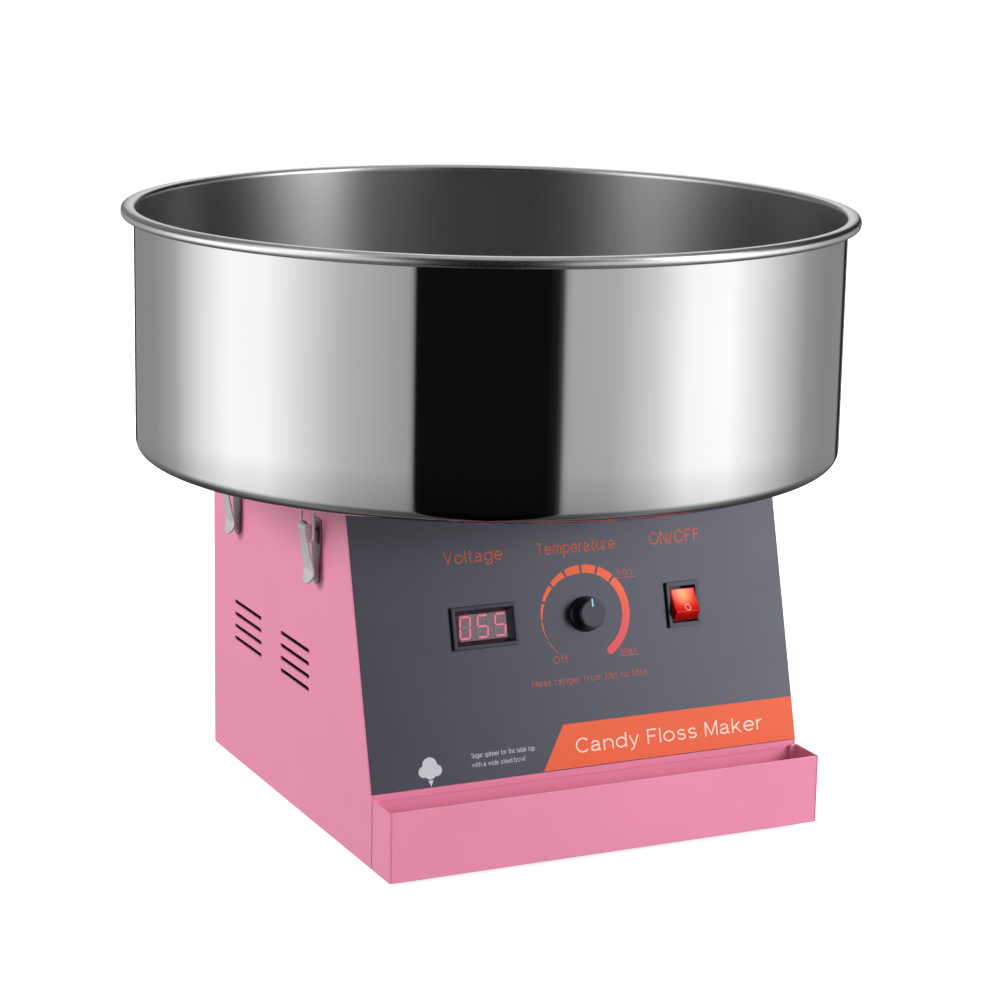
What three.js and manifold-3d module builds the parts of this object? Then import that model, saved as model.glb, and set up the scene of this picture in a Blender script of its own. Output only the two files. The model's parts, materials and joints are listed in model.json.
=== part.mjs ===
// Table-top cotton candy machine: a spun steel bowl latched onto a folded sheet-steel body, with a
// spinner head on a vertical motor shaft, a leaning control panel and an open-fronted drawer.
// Millimetres, +Z up, front towards -Y. The origin is on the spin axis, at floor level.

import * as THREE from 'three';
import { mergeVertices } from 'three/addons/utils/BufferGeometryUtils.js';
import Module from 'manifold-3d';

const wasm = await Module();
wasm.setup();

// ---------------------------------------------------------------- driving dimensions

const GAP = 0.3;                 // clearance between pieces that touch
const SHEET = 1.2;               // body sheet thickness

const FOOT_HEIGHT = 6;           // the body's underside stands this high; other heights count from it
const BODY_WIDTH = 324;
const BODY_BACK = 128;
const BODY_FRONT = -173.5;       // front bottom edge
const BODY_TOP = 240.2;
const HALF_WIDTH = BODY_WIDTH / 2;

const PANEL_FOOT = 51.5;         // height of the leaning panel's bottom edge
const PANEL_SLOPE = 0.2656;      // run back per unit of rise
const PANEL_LEAN = Math.atan(PANEL_SLOPE);
const FILM = 0.5;
const PANEL_BACK = FILM + GAP + SHEET + GAP;     // depth of the panel's layers behind its face

const BOWL_OUTER = 251;
const BOWL_SHEET = 1;
const BOWL_BOTTOM = 240.5;
const BOWL_CORNER = 8.5;
const RIM_TOP = 414;
const RIM_OUTER = 260;
const RIM_HEIGHT = 8;            // the rolled rim is a little wider than it is high
const RIM_SQUARENESS = 0.7;      // 1 is a round roll, less is squarer
const NECK_RADIUS = 28;

const DRAWER_FRONT = -204.5;
const DRAWER_WIDTH = 324.6;
const DRAWER_HEIGHT = 48.5;
const DRAWER_REAR = -20;
const DRAWER_FLOOR = 3.2;
const DRAWER_INNER_HALF = 158.2;
const DRAWER_WALL_TOP = 46;      // the box behind the tray has lower walls

const SHAFT_RADIUS = 6;
const BORE = SHAFT_RADIUS + GAP; // bore of everything carried on the shaft
const HEAD_BOTTOM = 262;
const HEAD_RADIUS = 70;

const LATCH_Y = 76.5;            // the latches sit this far before and behind the spin axis
const HINGE = { out: 8.2, up: 212 };
const BAIL_PIVOT = { out: 7.3, up: 205.3 };
const BAIL_TOP = { out: 7.4, up: 233 };
const WIRE_RADIUS = 0.8;

// panel controls: x across, up from the panel's bottom edge
const METER = { x: -70.2, up: 102.5, width: 48, height: 29 };
const KNOB = { x: 6.6, up: 103.4 };
const SWITCH = { x: 82, up: 103.2, width: 25.2, height: 31.6 };

const INLET = { x: 90, up: 45 };

// ---------------------------------------------------------------- materials

function paint(color, roughness, metalness) {
  return new THREE.MeshStandardMaterial({ color, roughness, metalness });
}

const finish = {
  polished: paint(0xcfd0d2, 0.12, 1),
  pink: paint(0xe28ca5, 0.5, 0),
  film: paint(0x56565f, 0.45, 0),
  zinc: paint(0xa5a0a0, 0.35, 1),
  steel: paint(0x8d9094, 0.4, 1),
  aluminium: paint(0xc3c5c8, 0.35, 1),
  brass: paint(0xb58a45, 0.35, 1),
  copper: paint(0xa9653c, 0.45, 1),
  laminations: paint(0x55585c, 0.55, 1),
  carbon: paint(0x222224, 0.7, 0),
  black: paint(0x17181a, 0.4, 0),
  rubber: paint(0x1b1b1c, 0.85, 0),
  phenolic: paint(0x5a3524, 0.6, 0),
  board: paint(0x1f6b3d, 0.55, 0),
  lamp: paint(0xd8281c, 0.25, 0),
  display: paint(0x6b5560, 0.3, 0),
};

// ---------------------------------------------------------------- solid helpers

function weld(geometry) {
  const bare = geometry.clone();
  bare.deleteAttribute('normal');
  bare.deleteAttribute('uv');
  return mergeVertices(bare, 1e-4);
}

function toSolid(geometry) {
  const welded = weld(geometry);
  return new wasm.Manifold(new wasm.Mesh({
    numProp: 3,
    vertProperties: new Float32Array(welded.attributes.position.array),
    triVerts: new Uint32Array(welded.index.array),
  }));
}

function toGeometry(solid) {
  const mesh = solid.getMesh();
  const geometry = new THREE.BufferGeometry();
  geometry.setAttribute('position', new THREE.BufferAttribute(mesh.vertProperties, 3));
  geometry.setIndex(new THREE.BufferAttribute(mesh.triVerts, 1));
  return geometry;
}

function join(...parts) {
  return toGeometry(parts.map(toSolid).reduce((whole, part) => whole.add(part)));
}

function cut(body, ...tools) {
  return toGeometry(tools.map(toSolid).reduce((left, tool) => left.subtract(tool), toSolid(body)));
}

function common(first, second) {
  return toGeometry(toSolid(first).intersect(toSolid(second)));
}

function box(x0, x1, y0, y1, z0, z1) {
  const geometry = new THREE.BoxGeometry(x1 - x0, y1 - y0, z1 - z0);
  return geometry.translate((x0 + x1) / 2, (y0 + y1) / 2, (z0 + z1) / 2);
}

// A closed outline of [x, y] points, pushed from z0 to z1.
function prism(outline, z0, z1) {
  const shape = new THREE.Shape(outline.map(([x, y]) => new THREE.Vector2(x, y)));
  const geometry = new THREE.ExtrudeGeometry(shape, { depth: z1 - z0, bevelEnabled: false, curveSegments: 8 });
  return geometry.translate(0, 0, z0);
}

// An outline of [x, z] points, pushed from y0 to y1.
function prismXZ(outline, y0, y1) {
  return prism(outline, -y1, -y0).rotateX(Math.PI / 2);
}

// An outline of [y, z] points, pushed from x0 to x1.
function prismYZ(outline, x0, x1) {
  return prism(outline, x0, x1).rotateX(Math.PI / 2).rotateZ(Math.PI / 2);
}

// A turned solid from a closed outline of [radius, height] points, counter-clockwise.
function turned(outline, segments) {
  const points = outline.map(([r, z]) => new THREE.Vector2(r, z));
  if (THREE.ShapeUtils.area(points) < 0) points.reverse();
  points.push(points[0].clone());
  return new THREE.LatheGeometry(points, segments).rotateX(Math.PI / 2);
}

function ring(inner, outer, z0, z1, segments) {
  return turned([[inner, z0], [outer, z0], [outer, z1], [inner, z1]], segments);
}

function disc(radius, z0, z1, segments, x = 0, y = 0) {
  const geometry = new THREE.CylinderGeometry(radius, radius, z1 - z0, segments).rotateX(Math.PI / 2);
  return geometry.translate(x, y, (z0 + z1) / 2);
}

function hexNut(bore, corner, z0, z1) {
  return cut(disc(corner, z0, z1, 6), disc(bore, z0 - 1, z1 + 1, 20));
}

// Points along an arc, angles in degrees.
function arc(cx, cy, radius, from, to, steps) {
  const points = [];
  for (let i = 0; i <= steps; i++) {
    const angle = THREE.MathUtils.degToRad(from + (to - from) * i / steps);
    points.push([cx + radius * Math.cos(angle), cy + radius * Math.sin(angle)]);
  }
  return points;
}

// The closed outline of a sheet of the given thickness whose middle follows an open path.
function sheetOutline(path, thickness) {
  const left = [];
  const right = [];
  for (let i = 0; i < path.length; i++) {
    const here = new THREE.Vector2(...path[i]);
    const before = new THREE.Vector2(...path[Math.max(i - 1, 0)]);
    const after = new THREE.Vector2(...path[Math.min(i + 1, path.length - 1)]);
    const along = after.clone().sub(before).normalize();
    const entry = i > 0 ? here.clone().sub(before).normalize() : along;
    const mitre = thickness / 2 / Math.max(along.dot(entry), 0.5);
    left.push([here.x - along.y * mitre, here.y + along.x * mitre]);
    right.push([here.x + along.y * mitre, here.y - along.x * mitre]);
  }
  return left.concat(right.reverse());
}

// ---------------------------------------------------------------- scene graph

const machine = new THREE.Group();
const body = new THREE.Group();
body.position.z = FOOT_HEIGHT;
machine.add(body);

function add(parent, name, geometry, material) {
  const mesh = new THREE.Mesh(weld(geometry), material);
  mesh.name = name;
  parent.add(mesh);
}

// The panel's own frame: x across, y up the panel from its bottom edge, z out of its face.
const panel = new THREE.Group();
panel.position.set(0, BODY_FRONT, PANEL_FOOT);
panel.rotation.x = Math.PI / 2 - PANEL_LEAN;
body.add(panel);

// ---------------------------------------------------------------- bowl

// Turns a circle's coordinate into that of a squarer roll with flattened sides.
function flattened(share) {
  return Math.sign(share) * Math.abs(share) ** RIM_SQUARENESS;
}

function addBowl() {
  const middle = BOWL_OUTER - BOWL_SHEET / 2;
  const floor = BOWL_BOTTOM + BOWL_SHEET / 2;
  const corner = BOWL_CORNER - BOWL_SHEET / 2;
  const rollOut = (RIM_OUTER - BOWL_SHEET / 2 - middle) / 2;
  const rollUp = (RIM_HEIGHT - BOWL_SHEET) / 2;
  const rollHeight = RIM_TOP - RIM_HEIGHT / 2;
  const path = [
    [NECK_RADIUS, BOWL_BOTTOM + 13.5],
    ...arc(NECK_RADIUS + 3, floor + 3, 3, 180, 270, 2),
    ...arc(middle - corner, floor + corner, corner, 270, 360, 4),
    ...arc(0, 0, 1, 180, -110, 9).map(([out, up]) => [
      middle + rollOut + flattened(out) * rollOut,
      rollHeight + flattened(up) * rollUp,
    ]),
  ];
  add(body, 'bowl', turned(sheetOutline(path, BOWL_SHEET), 60), finish.polished);
}

// ---------------------------------------------------------------- body

function sideOutline() {
  const slopeStart = BODY_FRONT + PANEL_BACK / Math.cos(PANEL_LEAN);
  const rise = BODY_TOP - PANEL_FOOT;
  const rear = BODY_BACK - SHEET - GAP;
  const notch = PANEL_FOOT - 0.5;
  return [
    [BODY_FRONT, 0], [rear, 0], [rear, BODY_TOP],
    [slopeStart + rise * PANEL_SLOPE, BODY_TOP], [slopeStart, notch], [BODY_FRONT, notch],
  ];
}

function ventSlots(side) {
  const length = 54;
  const height = 3.2;
  const slots = [];
  for (const y of [BODY_FRONT + 138.7, BODY_FRONT + 230.2]) {
    for (let row = 0; row < 4; row++) {
      const z = 92.6 + row * 9.1;
      const reach = (length - height) / 2;
      const outline = [
        ...arc(y + reach, z, height / 2, -90, 90, 4),
        ...arc(y - reach, z, height / 2, 90, 270, 4),
      ];
      slots.push(prismYZ(outline, side * HALF_WIDTH - 5, side * HALF_WIDTH + 5));
    }
  }
  return slots;
}

function addShell() {
  const inside = HALF_WIDTH - SHEET;
  const rear = BODY_BACK - SHEET - GAP;
  const outer = prismYZ(sideOutline(), -HALF_WIDTH, HALF_WIDTH);
  const hollow = box(-inside, inside, -300, 300, -10, BODY_TOP - SHEET);
  const neck = disc(NECK_RADIUS + 2, BODY_TOP - 5, BODY_TOP + 5, 32);
  const folded = cut(outer, hollow, neck, ...ventSlots(-1), ...ventSlots(1));
  const flanges = [];
  for (const side of [-1, 1]) {
    const low = Math.min(side * (inside + 0.5), side * (inside - 11));
    const high = Math.max(side * (inside + 0.5), side * (inside - 11));
    flanges.push(box(low, high, rear - SHEET, rear, SHEET + GAP, BODY_TOP - 0.5));
    flanges.push(box(low, high, BODY_FRONT + 1.5, rear - 0.5, SHEET + GAP, 2 * SHEET + GAP));
  }
  add(body, 'body_shell', join(folded, ...flanges), finish.pink);
}

function addBackPanel() {
  const plate = box(-HALF_WIDTH, HALF_WIDTH, BODY_BACK - SHEET, BODY_BACK, 0, BODY_TOP);
  const opening = box(INLET.x - 13.8, INLET.x + 13.8, BODY_BACK - 9, BODY_BACK + 9, INLET.up - 10.3, INLET.up + 10.3);
  add(body, 'back_panel', cut(plate, opening), finish.pink);
}

function addBasePlate() {
  const half = HALF_WIDTH - SHEET - GAP;
  add(body, 'base_plate', box(-half, half, BODY_FRONT + GAP, BODY_BACK - SHEET - GAP, 0, SHEET), finish.pink);
}

function addFeet() {
  const places = { front_left: [-130, -140], front_right: [130, -140], rear_left: [-130, 98], rear_right: [130, 98] };
  for (const [place, [x, y]] of Object.entries(places)) {
    const outline = [[0, 0], [9, 0], [10, 1], [11, FOOT_HEIGHT - GAP], [0, FOOT_HEIGHT - GAP]];
    const foot = new THREE.LatheGeometry(outline.map(([r, z]) => new THREE.Vector2(r, z)), 16);
    add(machine, `foot_${place}`, foot.rotateX(Math.PI / 2).translate(x, y, 0), finish.rubber);
  }
}

function addDrawer() {
  const half = DRAWER_WIDTH / 2;
  const inner = DRAWER_INNER_HALF;
  const stop = BODY_FRONT - 1.4;
  const pieces = [
    box(-half, half, DRAWER_FRONT, DRAWER_FRONT + SHEET, 0, DRAWER_HEIGHT),
    box(-half, half, DRAWER_FRONT, stop, DRAWER_FLOOR, DRAWER_FLOOR + SHEET),
    box(-inner, inner, stop - 2, DRAWER_REAR, DRAWER_FLOOR, DRAWER_FLOOR + SHEET),
    box(-inner, inner, DRAWER_REAR - SHEET, DRAWER_REAR, DRAWER_FLOOR, DRAWER_WALL_TOP),
  ];
  for (const side of [-1, 1]) {
    const span = (a, b) => [Math.min(side * a, side * b), Math.max(side * a, side * b)];
    pieces.push(box(...span(half - SHEET, half), DRAWER_FRONT, stop, 0, DRAWER_HEIGHT));
    pieces.push(box(...span(inner - SHEET, half), stop - SHEET, stop, 0, DRAWER_HEIGHT));
    pieces.push(box(...span(inner - SHEET, inner), stop - SHEET, DRAWER_REAR, DRAWER_FLOOR, DRAWER_WALL_TOP));
  }
  add(body, 'drawer', join(...pieces), finish.pink);
}

// ---------------------------------------------------------------- control panel

function panelOpenings(z0, z1) {
  const window = (spot, halfX, halfY) =>
    box(spot.x - halfX, spot.x + halfX, spot.up - halfY, spot.up + halfY, z0, z1);
  return [
    window(METER, 22.9, 13.3),
    window(SWITCH, 11.1, 14.1),
    disc(5, z0, z1, 20, KNOB.x, KNOB.up),
  ];
}

function addPanelSheets() {
  const length = (BODY_TOP - PANEL_FOOT) / Math.cos(PANEL_LEAN);
  const film = box(-HALF_WIDTH, HALF_WIDTH, 0, length, -FILM, 0);
  add(panel, 'panel_film', cut(film, ...panelOpenings(-5, 5)), finish.film);

  const front = -FILM - GAP;
  const sheet = box(-HALF_WIDTH, HALF_WIDTH, 0.8, length - 0.5, front - SHEET, front);
  const cutSheet = cut(sheet, ...panelOpenings(-8, 5));
  const flange = join(...footFlange()).applyMatrix4(panelMatrixInverse());
  add(panel, 'front_panel', join(cutSheet, flange), finish.pink);
}

// The sheet's upright lower edge: a lip as wide as the body just above the drawer, and a narrower
// flange that hangs down inside the drawer.
function footFlange() {
  const wide = HALF_WIDTH - SHEET - GAP;
  const narrow = DRAWER_INNER_HALF - SHEET - GAP;
  const front = BODY_FRONT + 0.95;
  const lipFront = BODY_FRONT + 0.1;
  const lipFoot = DRAWER_WALL_TOP + GAP;
  return [
    box(-wide, wide, lipFront, front + SHEET, lipFoot, PANEL_FOOT - 0.4),
    box(-wide, wide, front, front + SHEET, lipFoot, PANEL_FOOT + 0.8),
    box(-narrow, narrow, front, front + SHEET, 30, PANEL_FOOT),
  ];
}

// Carries a shape given in the body's frame into the panel's frame.
function panelMatrixInverse() {
  panel.updateMatrix();
  return panel.matrix.clone().invert();
}

function addVoltmeter() {
  const { x, up, width, height } = METER;
  const bezel = box(x - width / 2, x + width / 2, up - height / 2, up + height / 2, GAP, 2.6);
  const housing = box(x - 22.5, x + 22.5, up - 12.9, up + 12.9, -15, 1);
  const through = box(x - 17.9, x + 17.9, up - 9.3, up + 9.3, -20, 10);
  const bevel = new THREE.CylinderGeometry(1, 1, 1, 4, 1).rotateY(Math.PI / 4).rotateX(Math.PI / 2);
  const corners = bevel.attributes.position;
  for (let i = 0; i < corners.count; i++) {
    const isFront = corners.getZ(i) > 0;
    const halfX = isFront ? 21.8 : 17.9;
    const halfY = isFront ? 11.8 : 9.3;
    const isCentre = Math.abs(corners.getX(i)) < 0.1 && Math.abs(corners.getY(i)) < 0.1;
    corners.setX(i, x + (isCentre ? 0 : Math.sign(corners.getX(i)) * halfX));
    corners.setY(i, up + (isCentre ? 0 : Math.sign(corners.getY(i)) * halfY));
    corners.setZ(i, isFront ? 2.7 : -0.7);
  }
  add(panel, 'voltmeter_bezel', cut(join(bezel, housing), through, bevel), finish.black);
  const face = box(x - 17.6, x + 17.6, up - 9, up + 9, -12, -1);
  add(panel, 'voltmeter_display', face, finish.display);
}

function addTemperatureControl() {
  const at = (geometry) => geometry.translate(KNOB.x, KNOB.up, 0);
  const can = join(ring(3.3, 12, -14, -PANEL_BACK - GAP, 16), ring(3.3, 4.6, -5, 3.6, 16), disc(12, -14, -12, 16));
  add(panel, 'potentiometer', at(can), finish.steel);
  add(panel, 'potentiometer_nut', at(hexNut(4.9, 6.8, GAP, 2.4)), finish.zinc);
  add(panel, 'potentiometer_shaft', at(disc(3, -11, 9, 16)), finish.zinc);
  const grip = turned([
    [8.6, 0.8], [12.2, 0.8], [12.2, 2.4], [11.5, 3], [9.9, 12.2], [9.3, 12.8], [0, 12.8],
    [0, 9.3], [3.3, 9.3], [3.3, 5], [8.6, 5],
  ], 32);
  add(panel, 'knob', at(grip), finish.black);
}

function addSwitch() {
  const { x, up, width, height } = SWITCH;
  const bezel = box(x - width / 2, x + width / 2, up - height / 2, up + height / 2, GAP, 2.3);
  const housing = box(x - 10.8, x + 10.8, up - 13.8, up + 13.8, -21, 1);
  const well = box(x - 9.8, x + 9.8, up - 12.4, up + 12.4, -8.5, 10);
  const tabs = [-8, 0, 8].map((offset) => box(x - 2.4, x + 2.4, up + offset - 0.4, up + offset + 0.4, -28, -20.5));
  add(panel, 'switch_housing', cut(join(bezel, housing, ...tabs), well), finish.black);

  const rocker = new THREE.Group();
  rocker.position.set(x, up, -1);
  rocker.rotation.x = THREE.MathUtils.degToRad(-23);
  panel.add(rocker);
  const outline = [[-11.8, -2.2], [11.8, -2.2], [8.6, 7], [0, 6.3], [-8.6, 7]];
  add(rocker, 'rocker', prismYZ(outline, -9.4, 9.4), finish.lamp);
}

// ---------------------------------------------------------------- latches

// A latch's own frame: x out from the body's side, y along the side, z up.
function latchBase() {
  const tail = 177;
  const outline = [
    [-7.5, 197], [-5, 182], ...arc(0, tail, 5, 180, 360, 8), [5, 182], [7.5, 197], [7.5, 218], [-7.5, 218],
  ];
  const plate = prism(outline, GAP, GAP + SHEET).applyMatrix4(standUp());
  const ear = [[GAP + 0.2, 199], [GAP + 0.2, 212], ...arc(HINGE.out, HINGE.up, 2, 120, -55, 6)].reverse();
  const pin = new THREE.CylinderGeometry(1.25, 1.25, 14.4, 12).translate(HINGE.out, 0, HINGE.up);
  return join(plate, prismXZ(ear, -5, -3.8), prismXZ(ear, 3.8, 5), pin);
}

// Turns an outline drawn as [y, z] and pushed along z into one standing against the body's side.
function standUp() {
  return new THREE.Matrix4().makeBasis(
    new THREE.Vector3(0, 1, 0), new THREE.Vector3(0, 0, 1), new THREE.Vector3(1, 0, 0));
}

function latchLever() {
  const curl = 3.3;
  const path = [
    ...arc(HINGE.out, HINGE.up, curl, 50, -10, 5),
    [6.35, 184.5], [6, 181.5], [7, 177.5], [9.2, 172.5],
  ];
  const strip = prismXZ(sheetOutline(path, SHEET).reverse(), -9, 9);
  const outline = [...arc(0, 181.3, 8.6, 165, 375, 12), [6.7, HINGE.up], [6.7, 230], [-6.7, 230], [-6.7, HINGE.up]];
  const blade = common(strip, prism(outline, -5, 20).applyMatrix4(standUp()));
  const cheek = [
    ...arc(HINGE.out, HINGE.up, 3.4, 30, 180, 6),
    ...arc(BAIL_PIVOT.out, BAIL_PIVOT.up, 2.8, 180, 300, 4),
    [9.2, 200], [11, 210],
  ];
  const pinHole = new THREE.CylinderGeometry(1.65, 1.65, 30, 12).translate(HINGE.out, 0, HINGE.up);
  const hang = WIRE_RADIUS + GAP + 0.1;
  const bailHole = new THREE.CylinderGeometry(hang, hang, 30, 12).translate(BAIL_PIVOT.out, 0, BAIL_PIVOT.up);
  const whole = join(blade, prismXZ(cheek, -6.6, -5.4), prismXZ(cheek, 5.4, 6.6));
  return cut(whole, pinHole, bailHole);
}

function latchBail() {
  const half = 11;
  const tip = 6;
  const rise = Math.hypot(BAIL_TOP.out - BAIL_PIVOT.out, BAIL_TOP.up - BAIL_PIVOT.up);
  const at = (y, z) => new THREE.Vector3(0, y, z);
  const bend = (from, corner, to) => new THREE.QuadraticBezierCurve3(from, corner, to);
  const wire = new THREE.CurvePath();
  wire.add(new THREE.LineCurve3(at(-tip, 0), at(-half + 2, 0)));
  wire.add(bend(at(-half + 2, 0), at(-half, 0), at(-half, 2)));
  wire.add(new THREE.LineCurve3(at(-half, 2), at(-half, rise - 4)));
  wire.add(bend(at(-half, rise - 4), at(-half, rise), at(-half + 4, rise)));
  wire.add(new THREE.LineCurve3(at(-half + 4, rise), at(half - 4, rise)));
  wire.add(bend(at(half - 4, rise), at(half, rise), at(half, rise - 4)));
  wire.add(new THREE.LineCurve3(at(half, rise - 4), at(half, 2)));
  wire.add(bend(at(half, 2), at(half, 0), at(half - 2, 0)));
  wire.add(new THREE.LineCurve3(at(half - 2, 0), at(tip, 0)));
  const section = new THREE.Shape(arc(0, 0, WIRE_RADIUS, 0, 300, 5).map(([x, y]) => new THREE.Vector2(x, y)));
  const rod = new THREE.ExtrudeGeometry(section, { steps: 32, extrudePath: wire });
  const tilt = Math.atan2(BAIL_TOP.out - BAIL_PIVOT.out, BAIL_TOP.up - BAIL_PIVOT.up);
  return rod.rotateY(tilt).translate(BAIL_PIVOT.out, 0, BAIL_PIVOT.up);
}

function latchCatch() {
  const stem = 4.9;
  const floor = BAIL_TOP.up - WIRE_RADIUS - 2 * GAP - SHEET / 2;
  const under = BOWL_BOTTOM - GAP - SHEET / 2;
  const bottom = 3;
  const path = [
    [22, under], [stem + 1.5, under], [stem, under - 1.5], [stem, floor + bottom],
    ...arc(stem + bottom, floor + bottom, bottom, 180, 360, 6), [stem + 2 * bottom, floor + 4.4],
  ];
  return prismXZ(sheetOutline(path, SHEET), -7, 7);
}

function addLatches() {
  for (const [side, sign] of [['left', -1], ['right', 1]]) {
    for (const [end, y] of [['front', -LATCH_Y], ['rear', LATCH_Y]]) {
      const latch = new THREE.Group();
      latch.position.set(sign * HALF_WIDTH, y, 0);
      latch.rotation.z = sign < 0 ? Math.PI : 0;
      body.add(latch);
      add(latch, `latch_base_${end}_${side}`, latchBase(), finish.zinc);
      add(latch, `latch_lever_${end}_${side}`, latchLever(), finish.zinc);
      add(latch, `latch_bail_${end}_${side}`, latchBail(), finish.zinc);
      add(latch, `latch_catch_${end}_${side}`, latchCatch(), finish.polished);
    }
  }
}

// ---------------------------------------------------------------- spinner head

function addHead() {
  const plate = HEAD_BOTTOM + 3;
  const base = turned([
    [BORE, HEAD_BOTTOM], [HEAD_RADIUS - 2, HEAD_BOTTOM], [HEAD_RADIUS, HEAD_BOTTOM + 2], [HEAD_RADIUS, plate + 3],
    [HEAD_RADIUS - 2, plate + 3], [HEAD_RADIUS - 2, plate], [12, plate], [12, plate + 27], [BORE, plate + 27],
  ], 36);
  add(body, 'head_base', base, finish.aluminium);
  add(body, 'heating_ring', ring(58, 60, plate + GAP, plate + 35, 32), finish.copper);

  const band = ring(64, 65.2, plate + GAP, plate + 38, 36);
  const slits = [];
  const count = 18;
  for (let i = 0; i < count; i++) {
    slits.push(box(-80, 80, -3, 3, plate + 6, plate + 32).rotateZ(Math.PI * i / count));
  }
  add(body, 'head_screen', cut(band, ...slits), finish.steel);

  const brow = plate + 38 + GAP;
  const cap = turned([
    [HEAD_RADIUS - 8, brow], [HEAD_RADIUS - 1, brow], [HEAD_RADIUS, brow + 1], [HEAD_RADIUS, brow + 3],
    [HEAD_RADIUS - 4, brow + 6], [52, brow + 11], [36, brow + 14], [31, brow + 17], [29, brow + 17],
    [31, brow + 13], [51, brow + 9], [HEAD_RADIUS - 10, brow + 5],
  ], 36);
  add(body, 'head_cap', cap, finish.aluminium);
  add(body, 'head_nut', hexNut(BORE, 11, plate + 27 + GAP, plate + 34), finish.brass);
}

// ---------------------------------------------------------------- drive

function addSpindle() {
  add(body, 'drive_shaft', disc(SHAFT_RADIUS, 122, HEAD_BOTTOM + 39, 20), finish.steel);
  add(body, 'slip_ring_insulator', ring(BORE, 11, 223, 240, 20), finish.phenolic);
  add(body, 'slip_ring_lower', ring(11 + GAP, 14, 224, 229, 20), finish.brass);
  add(body, 'slip_ring_upper', ring(11 + GAP, 14, 232, 237, 20), finish.brass);
  add(body, 'rotor_core', ring(BORE, 22.5, 155, 200, 24), finish.laminations);

  const blades = [];
  for (let i = 0; i < 6; i++) {
    const blade = box(9, 38, -0.8, 0.8, -5.5, 5.5).rotateX(THREE.MathUtils.degToRad(35));
    blades.push(blade.rotateZ(Math.PI * i / 3).translate(0, 0, 129));
  }
  add(body, 'cooling_fan', join(ring(BORE, 12, 123, 135, 20), ...blades), finish.black);
}

function addMotor() {
  const housing = turned([
    [13, 138], [46, 138], [46, 217.7], [13, 217.7], [13, 213.7], [43.5, 213.7], [43.5, 142], [13, 142],
  ], 28);
  add(body, 'motor_housing', housing, finish.steel);
  add(body, 'motor_stator', ring(23.5, 43, 155, 200, 24), finish.copper);
  add(body, 'bearing_lower', ring(BORE, 12.7, 138.3, 145, 20), finish.zinc);
  add(body, 'bearing_upper', ring(BORE, 12.7, 210.7, 217.4, 20), finish.zinc);
}

function addMotorMount() {
  const half = 62;
  const isolator = 48;
  const plate = box(-half, half, -half, half, 218, 221);
  add(body, 'motor_plate', cut(plate, disc(15, 200, 240, 24)), finish.zinc);
  for (const [place, x, y] of [
    ['front_left', -isolator, -isolator], ['front_right', isolator, -isolator],
    ['rear_left', -isolator, isolator], ['rear_right', isolator, isolator],
  ]) {
    const outline = [[0, 221 + GAP], [9, 221 + GAP], [7.5, 231], [9, BODY_TOP - SHEET - GAP], [0, BODY_TOP - SHEET - GAP]];
    const puck = new THREE.LatheGeometry(outline.map(([r, z]) => new THREE.Vector2(r, z)), 12);
    add(body, `isolator_${place}`, puck.rotateX(Math.PI / 2).translate(x, y, 0), finish.rubber);
  }
}

function addBrushes() {
  const pocket = 3.2;
  const holder = box(17, 44, -11, 11, 221 + GAP, 238.5);
  const heights = { lower: 226.5, upper: 234.5 };
  const pockets = Object.values(heights).map((z) => box(10, 36, -pocket, pocket, z - pocket, z + pocket));
  add(body, 'brush_holder', cut(holder, ...pockets), finish.phenolic);
  for (const [name, z] of Object.entries(heights)) {
    add(body, `brush_${name}`, box(14 + GAP, 32, -2.7, 2.7, z - 2.4, z + 2.4), finish.carbon);
  }
}

// ---------------------------------------------------------------- electrics

function addControlBoard() {
  const top = 9.6;
  const pieces = [
    box(-115, -25, 25, 95, 8, top),
    box(-108, -78, 38, 62, top - 0.5, 41),
    box(-60, -36, 34, 54, top - 0.5, 26),
    box(-66, -36, 76, 90, top - 0.5, 22),
    disc(8, top - 0.5, 34, 16, -94, 78),
  ];
  for (const x of [-110, -30]) {
    for (const y of [30, 90]) {
      pieces.push(disc(3, SHEET + GAP, 8.5, 8, x, y));
    }
  }
  add(body, 'control_board', join(...pieces), finish.board);
}

function addInlet() {
  const { x, up } = INLET;
  const flange = prismXZ([
    [x - 24, up - 5], [x - 14, up - 12], [x + 14, up - 12], [x + 24, up - 5],
    [x + 24, up + 5], [x + 14, up + 12], [x - 14, up + 12], [x - 24, up + 5],
  ], BODY_BACK + GAP, BODY_BACK + 3);
  const housing = box(x - 13.5, x + 13.5, BODY_BACK - 22, BODY_BACK + 1, up - 10, up + 10);
  const socket = prismXZ([
    [x - 12, up - 8], [x + 12, up - 8], [x + 12, up + 3], [x + 8, up + 8], [x - 8, up + 8], [x - 12, up + 3],
  ], BODY_BACK - 13, BODY_BACK + 9);
  const pins = [[-7, -1.5], [0, 2.5], [7, -1.5]].map(([dx, dz]) =>
    box(x + dx - 1, x + dx + 1, BODY_BACK - 15, BODY_BACK - 3, up + dz - 2, up + dz + 2));
  const tabs = [-7, 0, 7].map((dx) => box(x + dx - 2.4, x + dx + 2.4, BODY_BACK - 29, BODY_BACK - 21, up - 0.4, up + 0.4));
  add(body, 'power_inlet', join(cut(join(flange, housing), socket), ...pins, ...tabs), finish.black);
}

// ---------------------------------------------------------------- assembly

addBowl();
addShell();
addBackPanel();
addBasePlate();
addFeet();
addDrawer();
addPanelSheets();
addVoltmeter();
addTemperatureControl();
addSwitch();
addLatches();
addHead();
addSpindle();
addMotor();
addMotorMount();
addBrushes();
addControlBoard();
addInlet();

export default machine;
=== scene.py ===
"""Looks of a table-top cotton candy machine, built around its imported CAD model.

Sizes are millimetres and are turned into metres where a mesh is made. The camera, the lamps and the floor are
placed in metres. X runs across, +Y to the back and +Z up from the table; the head spins about the Z axis.
"""

import json
import math

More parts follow.
